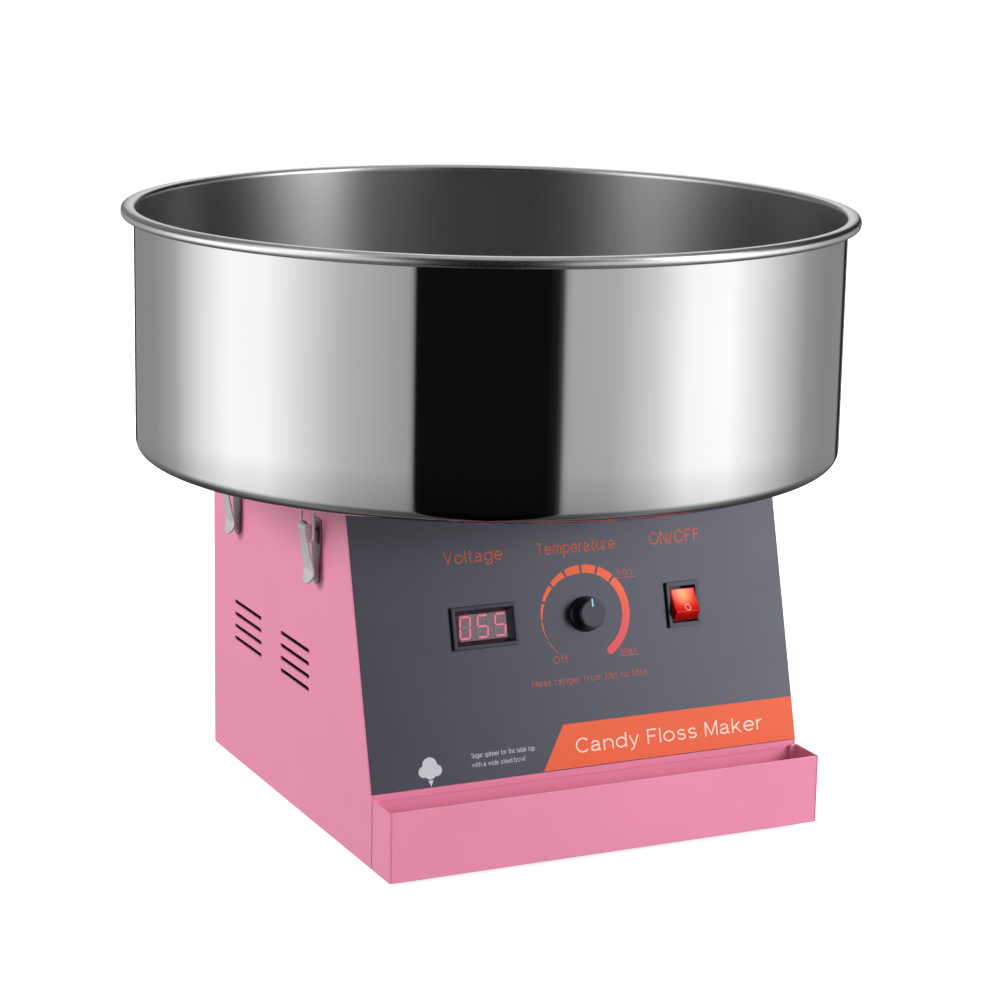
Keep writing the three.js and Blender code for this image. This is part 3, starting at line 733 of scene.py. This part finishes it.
# The middle lines of each letter's strokes. Capitals are 1 high and small letters 0.73.
LETTERS = {
    "C": [oval(0.37, 0.5, 0.37, 0.45, 42, 318)],
    "F": [STEM, [(0, 0.95), (0.5, 0.95)], [(0, 0.52), (0.44, 0.52)]],
    "H": [STEM, [(0.56, 0), (0.56, 1)], [(0, 0.53), (0.56, 0.53)]],
    "M": [STEM, [(0.68, 0), (0.68, 1)], [(0.02, 0.98), (0.34, 0.1), (0.66, 0.98)]],
    "N": [STEM, [(0.56, 0), (0.56, 1)], [(0.02, 0.98), (0.54, 0.02)]],
    "O": [oval(0.38, 0.5, 0.38, 0.45, 0, 370)],
    "S": [oval(0.27, 0.72, 0.24, 0.23, 20, 245) + oval(0.27, 0.27, 0.27, 0.22, 65, -155)],
    "T": [[(0.3, 0), (0.3, 1)], [(0, 0.95), (0.6, 0.95)]],
    "V": [[(0, 1), (0.31, 0.1), (0.62, 1)]],
    "a": [oval(0.23, 0.49, 0.2, 0.19, 165, 0) + [(0.43, 0.12), (0.46, 0.06), (0.52, 0.05)],
          [(0.43, 0.43), (0.2, 0.385)] + oval(0.19, 0.215, 0.19, 0.165, 100, 270)
          + [(0.32, 0.08), (0.43, 0.2)]],
    "b": [STEM, round_bowl()],
    "d": [[(0.56, 0), (0.56, 1)], round_bowl()],
    "e": [[(0.01, 0.37), (0.57, 0.37)], oval(0.29, 0.365, 0.29, 0.315, 0, 322)],
    "f": [[(0.13, 0), (0.13, 0.8)] + oval(0.29, 0.8, 0.16, 0.15, 178, 92), [(0, 0.68), (0.29, 0.68)]],
    "g": [round_bowl(), [(0.56, 0.73), (0.56, 0.0)] + oval(0.29, 0.0, 0.27, 0.21, -8, -155)],
    "h": [STEM, arch(0, 0.5)],
    "i": [SHORT_STEM, [(0, 0.88), (0, 1)]],
    "k": [STEM, [(0.44, 0.73), (0.02, 0.28)], [(0.17, 0.43), (0.48, 0)]],
    "l": [STEM],
    "m": [SHORT_STEM, arch(0, 0.4), arch(0.4, 0.8)],
    "n": [SHORT_STEM, arch(0, 0.5)],
    "o": [round_bowl(0.3)],
    "p": [[(0, -0.27), (0, 0.73)], round_bowl()],
    "r": [SHORT_STEM, oval(0.24, 0.42, 0.24, 0.26, 178, 80)],
    "s": [oval(0.22, 0.525, 0.19, 0.155, 20, 245) + oval(0.22, 0.21, 0.22, 0.16, 65, -155)],
    "t": [[(0.13, 0.93), (0.13, 0.2)] + oval(0.27, 0.2, 0.14, 0.15, 188, 280), [(0, 0.68), (0.3, 0.68)]],
    "u": [[(0, 0.73), (0, 0.3)] + oval(0.25, 0.29, 0.25, 0.24, 188, 350), [(0.5, 0), (0.5, 0.73)]],
    "w": [[(0, 0.73), (0.19, 0.09), (0.38, 0.66), (0.57, 0.09), (0.76, 0.73)]],
    "x": [[(0, 0.73), (0.46, 0)], [(0.46, 0.73), (0, 0)]],
    "y": [[(0, 0.73), (0.26, 0.03)], [(0.5, 0.73), (0.24, 0), (0.19, -0.13), (0.11, -0.21), (0.02, -0.22)]],
    "/": [[(0, -0.02), (0.3, 1.02)]],
    ":": [[(0, 0), (0, 0.11)], [(0, 0.62), (0, 0.73)]],
}
LETTER_GAP = 0.225
WORD_GAP = 0.36


def set_line(text):
    """The strokes of a line of text, side by side, and the line's whole width."""
    strokes, at = [], 0.0
    for letter in text:
        if letter == " ":
            at += WORD_GAP
            continue
        width = max(x for stroke in LETTERS[letter] for x, _ in stroke)
        strokes += [[(at + x, y) for x, y in stroke] for stroke in LETTERS[letter]]
        at += width + LETTER_GAP
    return strokes, at - LETTER_GAP


def lettering(name, text, left, right, baseline, cap, finish, raised=PRINT, weight=0.092):
    """Plain sans lettering laid on the panel, set to run from left to right at the given capital height."""
    strokes, width = set_line(text)
    stretch = (right - left) / width
    ribbons = []
    for i, stroke in enumerate(strokes):
        path = [(left + x * stretch, baseline + y * cap) for x, y in stroke]
        top = raised + 0.03 + 0.004 * (i % 5)
        ribbons.append(ribbon(path, weight * cap, raised - 0.06, top))
    return on_panel(name, merged(*ribbons), finish)


def dial_band(start, end, inner_at):
    """A band round the knob between two angles, clockwise from up; inner_at gives its inner radius."""
    steps = max(4, int((end - start) / 3))
    outer, inner = [], []
    for i in range(steps + 1):
        angle = start + (end - start) * i / steps
        turn = math.radians(90 - angle)
        for radius, line in ((DIAL_RADIUS, outer), (inner_at(angle), inner)):
            line.append((KNOB[0] + radius * math.cos(turn), KNOB[1] + radius * math.sin(turn)))
    return outer + inner[::-1]


def add_dial():
    """A scale of eight marks that grow wider, and a sweep with a round end."""
    start_angle = DIAL_GAPS[0]

    def inner_radius(angle):
        share = min(1.0, max(0.0, (angle - start_angle) / (DIAL_WIDEST - start_angle)))
        return DIAL_RADIUS - max(0.45, DIAL_WIDTH * share ** 1.5)

    for i, (start, end) in enumerate(zip(DIAL_GAPS, DIAL_GAPS[1:])):
        low = start + (0 if i == 0 else DIAL_GAP)
        printed(f"dial_mark_{i}", dial_band(low, end - DIAL_GAP, inner_radius), "dial_ink")
    outline = dial_band(DIAL_GAPS[-1] + DIAL_GAP, DIAL_END, inner_radius)
    middle = DIAL_RADIUS - DIAL_WIDTH / 2
    turn = math.radians(90 - DIAL_END)
    cap_centre = (KNOB[0] + middle * math.cos(turn), KNOB[1] + middle * math.sin(turn))
    cap = arc(*cap_centre, DIAL_WIDTH / 2, math.degrees(turn), math.degrees(turn) - 180, 10)
    half = len(outline) // 2
    printed("dial_sweep", outline[:half] + cap[1:-1] + outline[half:], "dial_ink")


# name, wording, left and right ends, baseline, capital height, ink
LABELS = [
    ("voltage", "Voltage", -95.0, -52.0, 146.0, 8.6, "orange_ink"),
    ("temperature", "Temperature", -25.9, 33.5, 146.0, 8.6, "orange_ink"),
    ("on_off", "ON/OFF", 61, 100, 146.0, 8.8, "orange_ink"),
    ("min", "Min", 33.9, 44.7, 126.9, 5.2, "faded_ink"),
    ("max", "Max", 31.0, 43.3, 73.2, 4.6, "faded_ink"),
    ("off", "Off", -20.7, -10.2, 72.0, 5.2, "faded_ink"),
    ("range", "Heat range: from Min to Max", -38.3, 49.5, 57.6, 4.6, "faded_ink"),
]
LINES = {"min": (31.7, 47.5, 125.5), "max": (30, 45.5, 72.0)}
LINE_HEIGHT = 0.4


def add_labels():
    for name, *setting in LABELS:
        lettering(f"label_{name}", *setting)
    for name, (left, right, low) in LINES.items():
        high = low + LINE_HEIGHT
        printed(f"line_{name}", [(left, low), (right, low), (right, high), (left, high)], "faded_ink")


def add_band():
    right = HALF_WIDTH - 0.3
    printed("orange_band", [(-35.7, 0.4), (right, 0.4), (right, 30.2), (-18.1, 30.4)], "orange_ink")
    raised = PRINT + 0.05
    lettering("band_lettering", "Candy Floss Maker", -9.5, 136, 9.8, 10.2, "cream_ink", raised, 0.1)


def add_pictogram():
    """A plain pictogram of spun sugar on a paper cone, with two lines of small print beside it."""
    puffs = [(-119.0, 14.6, 5.4), (-123.6, 10.6, 3.8), (-114.2, 10.8, 3.9), (-119.0, 9.4, 4.2)]
    for i, (x, up, radius) in enumerate(puffs):
        printed(f"pictogram_puff_{i}", arc(x, up, radius, 0, 348, 29), "pale_ink", PRINT + 0.01 * i)
    printed("pictogram_cone", [(-120.9, 4.6), (-119.0, 0.4), (-117.1, 4.6)], "pale_ink")
    lettering("small_print_upper", "Sugar spinner for the table top", -88, -41, 15.6, 3.4, "pale_ink")
    lettering("small_print_lower", "with a wide steel bowl", -88, -49, 9.4, 3.4, "pale_ink")


# ---- voltmeter

# The ends of each bar, as shares of a digit's width and height.
SEGMENTS = {
    "top": ((0, 1), (1, 1)), "middle": ((0, 0.5), (1, 0.5)), "bottom": ((0, 0), (1, 0)),
    "left_low": ((0, 0), (0, 0.5)), "left_high": ((0, 0.5), (0, 1)),
    "right_low": ((1, 0), (1, 0.5)), "right_high": ((1, 0.5), (1, 1)),
}
DIGITS = {
    "0": {"top", "bottom", "left_low", "left_high", "right_low", "right_high"},
    "5": {"top", "middle", "bottom", "left_high", "right_low"},
}


def bar(start, end, width, clear):
    """A display bar with pointed ends between two points."""
    a, b = Vector(start), Vector(end)
    along = (b - a).normalized()
    side = Vector((-along.y, along.x)) * width / 2
    a, b = a + along * clear, b - along * clear
    inset = along * width / 2
    return [tuple(p) for p in (a, a + inset + side, b - inset + side, b, b - inset - side, a + inset - side)]


def add_meter():
    soften_cad("voltmeter_bezel", 0.45)
    soften_cad("voltmeter_display", 0.2, 2)
    face = -1.0
    width, height, slant = 7.4, 14.5, 1.0
    first, pitch = -17.6, 13.1
    bar_width, bar_gap = 1.25, 0.25
    for index, digit in enumerate("055"):
        left = METER[0] + first + index * pitch
        low = METER[1] - height / 2 + 0.2
        for name, (start, end) in SEGMENTS.items():
            points = [(left + u * width + v * slant, low + v * height) for u, v in (start, end)]
            lit = name in DIGITS[digit]
            finish = "lit_segment" if lit else "dark_segment"
            bm = prism(bar(*points, bar_width, bar_gap), face + 0.03, face + (0.16 if lit else 0.1))
            on_panel(f"digit_{index}_{name}", bm, finish)


# ---- knob and switch


def add_knob():
    outline = [(8.6, 0.8), (12.0, 0.8)] + arc(11.8, 1.2, 0.4, -60, 60, 4) + [(12.1, 2.2)]
    outline += arc(11.4, 2.4, 0.7, 0, 80, 4) + [(11.2, 3.4), (10.1, 11.2)]
    outline += arc(9.3, 11.5, 0.75, 5, 85, 5)
    outline += [(8.7, 12.3), (8.4, 12.1), (0, 12.1), (0, 9.3), (3.3, 9.3), (3.3, 5), (8.6, 5)]
    place = panel_matrix() @ shift(*KNOB, 0)
    grip = piece("knob_grip", turned(outline, 96), "black_plastic", "knob", matrix=place)
    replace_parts(grip, "knob")
    pointer = merged(box(-0.55, 0.55, 4.9, 9.6, 12.0, 12.5), box(-0.55, 0.55, 9.2, 10.35, 8.5, 12.35))
    mark = piece("knob_pointer", pointer, "pointer_paint", "knob", place)
    round_edges(mark, 0.15, 2)


def rocker_outline():
    """Side view of the rocker: two shallow dished faces that meet in the middle, and slanted ends."""
    upper = [(8.6, 7.0), (7.2, 6.62), (5.0, 6.32), (2.5, 6.2), (0.0, 6.3)]
    lower = [(-along, height) for along, height in upper[-2::-1]]
    return [(-11.8, -2.2), (11.8, -2.2)] + upper + lower


def add_switch():
    soften_cad("switch_housing", 0.55)
    tilt = Matrix.Rotation(math.radians(ROCKER_TILT), 4, "X")
    place = panel_matrix() @ shift(*SWITCH, -1) @ tilt
    solid = prism(rocker_outline(), -9.3, 9.3, "yzx")
    lens = piece("rocker_lens", solid, "lit_red_lens", "rocker", matrix=place)
    round_edges(lens, 0.6, 4, 25)
    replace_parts(lens, "rocker")
    upper = place @ shift(0, 4.6, 6.3)
    lower = place @ shift(0.4, -5.4, 6.4)
    stroke = prism([(-0.28, -1.9), (0.28, -1.9), (0.28, 1.9), (-0.28, 1.9)], -0.15, 0.14)
    piece("rocker_mark_on", stroke, "cream_ink", "rocker", upper)
    ring = rod([(x, y * 1.15, 0.1 - y * 0.08) for x, y in circle(2.0, 36)], 0.27, 8, closed=True)
    piece("rocker_mark_off", ring, "cream_ink", "rocker", lower)


# ---- latches


def latch_base():
    tail = FOOT + 177
    waist, shoulder, top = FOOT + 182, FOOT + 197, FOOT + 218
    outline = [(-7.5, shoulder), (-5, waist)] + arc(0, tail, 5, 180, 360, 16)
    outline += [(5, waist), (7.5, shoulder), (7.5, top), (-7.5, top)]
    plate = prism(outline, 0.3, 0.3 + LATCH_SHEET, "yzx")
    ear = [(0.5, FOOT + 199), (0.5, FOOT + 208)] + arc(*HINGE, 2.2, 120, -55, 12)
    ears = [prism(ear, low, low + 1.2, "xzy") for low in (-5.0, 3.8)]
    return merged(plate, *ears)


def rivet(along, up):
    bm = turned(dome(2.6, 1.1, (25, 50, 75, 90), 1) + [(0, 0)], 24)
    turn = Matrix.Rotation(math.pi / 2, 4, "Y")
    bmesh.ops.transform(bm, matrix=Matrix.Translation((0.3 + LATCH_SHEET, along, up)) @ turn, verts=bm.verts)
    return bm


def latch_lever():
    """The lever's blade: curled over the hinge pin, slanting in, and turned out into a round tab."""
    path = arc(*HINGE, 3.3, 60, -10, 14)
    top, foot = path[-1], (6.35, FOOT + 184.5)
    path += [(top[0] + (foot[0] - top[0]) * i / 6, top[1] + (foot[1] - top[1]) * i / 6) for i in range(1, 7)]
    path += [(6.05, FOOT + 182.6), (6.0, FOOT + 181.2), (6.3, FOOT + 179.4), (6.9, FOOT + 177.6)]
    path += [(7.6, FOOT + 175.9), (8.3, FOOT + 174.3), (8.8, FOOT + 173.4), (9.1, FOOT + 172.8)]
    centre, radius = FOOT + 181.3, 8.6
    halves = []
    for _, z in path:
        if z >= HINGE[1]:
            halves.append(6.6)
        elif z >= centre:
            halves.append(6.6 + (radius - 6.6) * ((HINGE[1] - z) / (HINGE[1] - centre)) ** 1.6)
        else:
            halves.append(math.sqrt(max(radius ** 2 - (centre - z) ** 2, 1.0)))
    return strip(path, halves, LATCH_SHEET)


def latch_cheeks():
    cheek = arc(*HINGE, 3.4, 30, 180, 14) + arc(*BAIL_PIVOT, 2.8, 180, 300, 10)
    cheek += [(9.2, FOOT + 200), (11.0, FOOT + 210)]
    return merged(*[prism(cheek, low, low + 1.2, "xzy") for low in (-6.6, 5.4)])


def latch_bail():
    lift = Vector((BAIL_TOP[0] - BAIL_PIVOT[0], BAIL_TOP[1] - BAIL_PIVOT[1]))
    half, corner, rise = 11.0, 3.6, lift.length
    flat = [(-6.0, 0.0), (-half + 2, 0.0)]
    flat += arc(-half + 2, 2, 2, 270, 180, 6)
    flat += arc(-half + corner, rise - corner, corner, 180, 90, 10)
    flat += [(-along, up) for along, up in reversed(flat)]
    unit = lift.normalized()
    points = [(BAIL_PIVOT[0] + unit.x * up, along, BAIL_PIVOT[1] + unit.y * up) for along, up in flat]
    return rod(points, WIRE_RADIUS)


def latch_catch():
    stem = 4.9
    floor = BAIL_TOP[1] - WIRE_RADIUS - 0.6 - LATCH_SHEET / 2
    under = BOWL_BOTTOM - 0.3 - LATCH_SHEET / 2
    bottom = 3.0
    path = [(22, under), (stem + 1.8, under)] + arc(stem + 1.8, under - 1.8, 1.8, 90, 180, 5)
    path += arc(stem + bottom, floor + bottom, bottom, 180, 360, 14) + [(stem + 2 * bottom, floor + 4.4)]
    return strip(path, [7.0] * len(path), LATCH_SHEET)


def add_latches():
    for side in SIDES:
        for end in ENDS:
            tag = f"{end}_{side}"
            place = latch_matrix(end, side)
            # The plates take the darker plain steel: painted shade, standing in for the lever's shadow and
            # the dark reflections on them.
            base = piece(f"latch_plate_{tag}", latch_base(), "plain_steel", "root", place)
            round_edges(base, 0.25, 2)
            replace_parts(base, f"latch_base_{tag}")
            rivets = merged(rivet(0, FOOT + 178), rivet(0, FOOT + 206))
            piece(f"latch_rivets_{tag}", rivets, "latch_steel", "root", matrix=place)
            pin = rod([(HINGE[0], y, HINGE[1]) for y in (-7.15, 7.15)], 1.25, 16)
            round_edges(piece(f"latch_pin_{tag}", pin, "latch_steel", "root", matrix=place), 0.3, 2)
            lever = piece(f"latch_handle_{tag}", latch_lever(), "latch_steel", f"lever_{tag}", matrix=place)
            round_edges(lever, 0.3, 3)
            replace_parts(lever, f"latch_lever_{tag}")
            cheeks = piece(f"latch_cheeks_{tag}", latch_cheeks(), "latch_steel", f"lever_{tag}", matrix=place)
            round_edges(cheeks, 0.2, 2)
            bail = piece(f"latch_wire_{tag}", latch_bail(), "latch_steel", f"bail_{tag}", matrix=place)
            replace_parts(bail, f"latch_bail_{tag}")
            hook = piece(f"latch_hook_{tag}", latch_catch(), "latch_steel", "root", place)
            round_edges(hook, 0.25, 2)
            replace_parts(hook, f"latch_catch_{tag}")


# ---- spinner head


def add_head():
    base = [(SHAFT_BORE, HEAD_BOTTOM)] + arc(HEAD_RADIUS - 2, HEAD_BOTTOM + 2, 2, -90, 0, 6)
    base += [(HEAD_RADIUS, HEAD_PLATE + 2.6), (HEAD_RADIUS - 0.4, HEAD_PLATE + 3)]
    base += [(HEAD_RADIUS - 1.6, HEAD_PLATE + 3), (HEAD_RADIUS - 2, HEAD_PLATE + 2.6)]
    base += [(HEAD_RADIUS - 2, HEAD_PLATE), (13.5, HEAD_PLATE), (12, HEAD_PLATE + 1.5)]
    base += [(12, HEAD_PLATE + 26.5), (11.5, HEAD_PLATE + 27), (SHAFT_BORE, HEAD_PLATE + 27)]
    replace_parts(piece("head_base_turned", turned(base, 128), "cast_aluminium", "spinner"), "head_base")

    brow = HEAD_PLATE + 38.3
    cap = [(HEAD_RADIUS - 8, brow), (HEAD_RADIUS - 1, brow)] + arc(HEAD_RADIUS - 1, brow + 1, 1, -80, 0, 4)
    cap += arc(HEAD_RADIUS - 1.5, brow + 2.5, 1.5, 0, 75, 4)
    cap += [(HEAD_RADIUS - 4, brow + 5.6), (60, brow + 8.1), (52, brow + 11)]
    cap += [(43, brow + 13.2), (36, brow + 14)] + arc(33.4, brow + 16.6, 2.6, -80, -170, 5)[:3]
    cap += [(31, brow + 16.8), (30.4, brow + 17), (29, brow + 17)]
    cap += [(29.4, brow + 15), (31, brow + 13), (40, brow + 11.4), (51, brow + 9)]
    cap += [(HEAD_RADIUS - 10, brow + 5)]
    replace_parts(piece("head_cap_turned", turned(cap, 128), "cast_aluminium", "spinner"), "head_cap")
    add_screen()
    soften_cad("head_nut", 0.3, 2)


def add_screen():
    """The spinner's screen: a thin band with a fine row of upright slits."""
    columns, radius = 180, 64.6
    rows = [HEAD_PLATE + up for up in (0.3, 4, 12.5, 14, 23.5, 25, 34, 38)]
    bm = bmesh.new()
    grid = [[bm.verts.new((x, y, z)) for z in rows] for x, y in circle(radius, columns)]
    for c in range(columns):
        after = grid[(c + 1) % columns]
        for r in range(len(rows) - 1):
            is_slit = c % 2 == 0 and r in (1, 3, 5)
            if not is_slit:
                bm.faces.new([grid[c][r], after[r], after[r + 1], grid[c][r + 1]])
    screen = piece("head_screen_slotted", bm, "plain_steel", "spinner")
    wall = screen.modifiers.new("wall", "SOLIDIFY")
    wall.thickness = 0.9 * MM
    wall.offset = 0
    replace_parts(screen, "head_screen")


# ---- remaining CAD nodes


def finish_cad_nodes():
    """Every CAD node, shown or stood for, takes the finish of its slot in the record."""
    for name, made in nodes.items():
        finish = finishes[slot_of[name]]
        made.data.materials.clear()
        made.data.materials.append(finish)


def add_inlet():
    soften_cad("power_inlet", 0.4)
    x, up = INLET
    for i, (dx, dz) in enumerate(((-7, -1.5), (0, 2.5), (7, -1.5))):
        middle, level = x + dx, up + dz
        back, front = BODY_BACK - 12.5, BODY_BACK - 2.9
        blade = box(middle - 1.06, middle + 1.06, back, front, level - 2.06, level + 2.06)
        pin = piece(f"inlet_pin_{i}", blade, "brass_parts", "root")
        round_edges(pin, 0.35, 2)


def soften_inner_parts():
    for node in ("motor_plate", "motor_housing", "motor_stator"):
        soften_cad(node, 0.3, 2)
    for node in ("control_board", "brush_holder", "cooling_fan"):
        soften_cad(node, 0.3, 2)


# ---- light and floor


def add_floor():
    mesh = bpy.data.meshes.new("floor")
    reach = 30.0  # metres
    corners = [(-reach, -reach, 0), (reach, -reach, 0), (reach, reach, 0), (-reach, reach, 0)]
    mesh.from_pydata(corners, [], [(0, 1, 2, 3)])
    shader = Shader("pale_floor")
    shader.vary_colour(shader.noise(0.8, 2.0), grey(0.78), grey(0.80))
    shader.set(Roughness=0.9, Specular_IOR_Level=0.0, Emission_Color=grey(1.0), Emission_Strength=0.75)
    mesh.materials.append(finishes["pale_floor"])
    floor = bpy.data.objects.new("floor", mesh)
    bpy.context.scene.collection.objects.link(floor)
    floor.visible_glossy = False
    floor.visible_diffuse = False


# How bright the studio is all round: angle from the front, turning to the right, and brightness.
LOW_WALLS = [
    (-180, 0.30), (-160, 0.36), (-145, 0.52), (-130, 1.04), (-115, 1.42), (-100, 1.40), (-85, 1.00),
    (-72, 0.68), (-60, 0.56), (-49.5, 0.47), (-48, 0.006), (-7, 0.006), (-3, 0.02), (-1, 0.55), (14, 0.60),
    (28, 0.92), (40, 1.40), (56, 1.50), (68, 1.15), (80, 0.80), (95, 0.43), (110, 0.32), (130, 0.30),
    (133, 0.02), (138, 0.02), (141, 0.30), (155, 0.30), (157, 0.01), (170, 0.01), (173, 0.30), (180, 0.30),
]
HIGH_WALLS = [
    (-180, 0.18), (-165, 0.14), (-130, 0.10), (-118, 0.20), (-105, 0.52), (-92, 1.05), (-76, 1.22),
    (-64, 0.34), (-52, 0.04), (-46, 0.005), (-14, 0.005), (-2, 0.06), (8, 0.24), (16, 0.15), (24, 0.4),
    (29, 1.5), (34, 2.95), (40, 2.6), (46, 2.1), (54, 1.2), (64, 0.32), (76, 0.08), (92, 0.01), (140, 0.02),
    (148, 0.7), (160, 0.7), (168, 0.18), (180, 0.18),
]
BRIGHTEST = 3.0
LIT_POINT = (0, 0, 0.15)  # metres; every lamp points at it


def add_world():
    """Studio walls as a world: one band below the horizon, one with two softboxes above it, and a ceiling."""
    world = bpy.data.worlds.new("studio")
    world.use_nodes = True
    tree = world.node_tree
    bpy.context.scene.world = world

    def math_node(operation, first, second):
        node = tree.nodes.new("ShaderNodeMath")
        node.operation = operation
        for socket, value in zip(node.inputs, (first, second)):
            if isinstance(value, (int, float)):
                socket.default_value = value
            else:
                tree.links.new(value, socket)
        return node.outputs[0]

    def ramp_node(source, stops, interpolation):
        node = tree.nodes.new("ShaderNodeValToRGB")
        node.color_ramp.interpolation = interpolation
        fill_ramp(node.color_ramp, [(place, grey(value)) for place, value in stops])
        tree.links.new(source, node.inputs["Fac"])
        return node.outputs["Color"]

    def by_height(stops):
        """A share by the sine of the elevation."""
        return ramp_node(height, [(0.5 + rise / 2, value) for rise, value in stops], "EASE")

    def by_turn(stops):
        return ramp_node(turn, [(0.5 + angle / 360, value / BRIGHTEST) for angle, value in stops], "LINEAR")

    direction = tree.nodes.new("ShaderNodeTexCoord").outputs["Generated"]
    split = tree.nodes.new("ShaderNodeSeparateXYZ")
    tree.links.new(direction, split.inputs[0])
    backwards = math_node("MULTIPLY", split.outputs["Y"], -1.0)
    compass = math_node("ARCTAN2", split.outputs["X"], backwards)
    turn = math_node("ADD", math_node("DIVIDE", compass, 2 * math.pi), 0.5)
    height = math_node("MULTIPLY", math_node("ADD", split.outputs["Z"], 1.0), 0.5)
    low_share = by_height([
        (-1, 0.10), (-0.6, 0.2), (-0.3, 0.6), (-0.24, 0.84), (-0.21, 1.0), (-0.05, 1.0), (0.10, 0.0),
    ])
    high_share = by_height([(-0.05, 0.0), (0.10, 1.0), (0.50, 1.0), (0.75, 0.2), (1.0, 0.0)])
    ceiling = by_height([(0.45, 0.0), (0.78, 0.16), (0.92, 0.32), (1.0, 0.36)])
    low = math_node("MULTIPLY", by_turn(LOW_WALLS), low_share)
    high = math_node("MULTIPLY", by_turn(HIGH_WALLS), high_share)
    walls = math_node("MULTIPLY", math_node("ADD", low, high), BRIGHTEST)
    background = tree.nodes["Background"]
    background.inputs["Color"].default_value = (1, 1, 1, 1)
    tree.links.new(math_node("ADD", walls, ceiling), background.inputs["Strength"])


def add_soft_light(name, place, size, power):
    """A large soft lamp that lights the object but isn't mirrored in the bowl."""
    data = bpy.data.lights.new(name, "AREA")
    data.shape = "RECTANGLE"
    data.size, data.size_y = size
    data.energy = power
    lamp = bpy.data.objects.new(name, data)
    lamp.location = place
    lamp.rotation_mode = "QUATERNION"
    lamp.rotation_quaternion = (Vector(LIT_POINT) - Vector(place)).to_track_quat("-Z", "Y")
    lamp.visible_glossy = False
    bpy.context.scene.collection.objects.link(lamp)


def add_studio():
    add_floor()
    add_world()
    add_soft_light("left_light", (-2.5, 0.9, 1.2), (1.4, 1.2), 76)
    add_soft_light("right_light", (1.25, -1.45, 0.85), (0.8, 0.8), 31)
    add_soft_light("front_light", (-0.6, -2.6, 1.0), (1.8, 1.2), 20)
    add_soft_light("back_light", (1.2, 2.6, 1.3), (1.4, 1.2), 45)
    view = bpy.context.scene.view_settings
    view.view_transform = "Standard"
    view.look = "None"


# ---- assembly

make_finishes()
finish_cad_nodes()
add_camera()
add_studio()
add_bowl()
add_body()
add_drawer()
add_feet()
add_back_screws()
add_dial()
add_labels()
add_band()
add_pictogram()
add_meter()
add_knob()
add_switch()
add_latches()
add_head()
add_inlet()
soften_inner_parts()
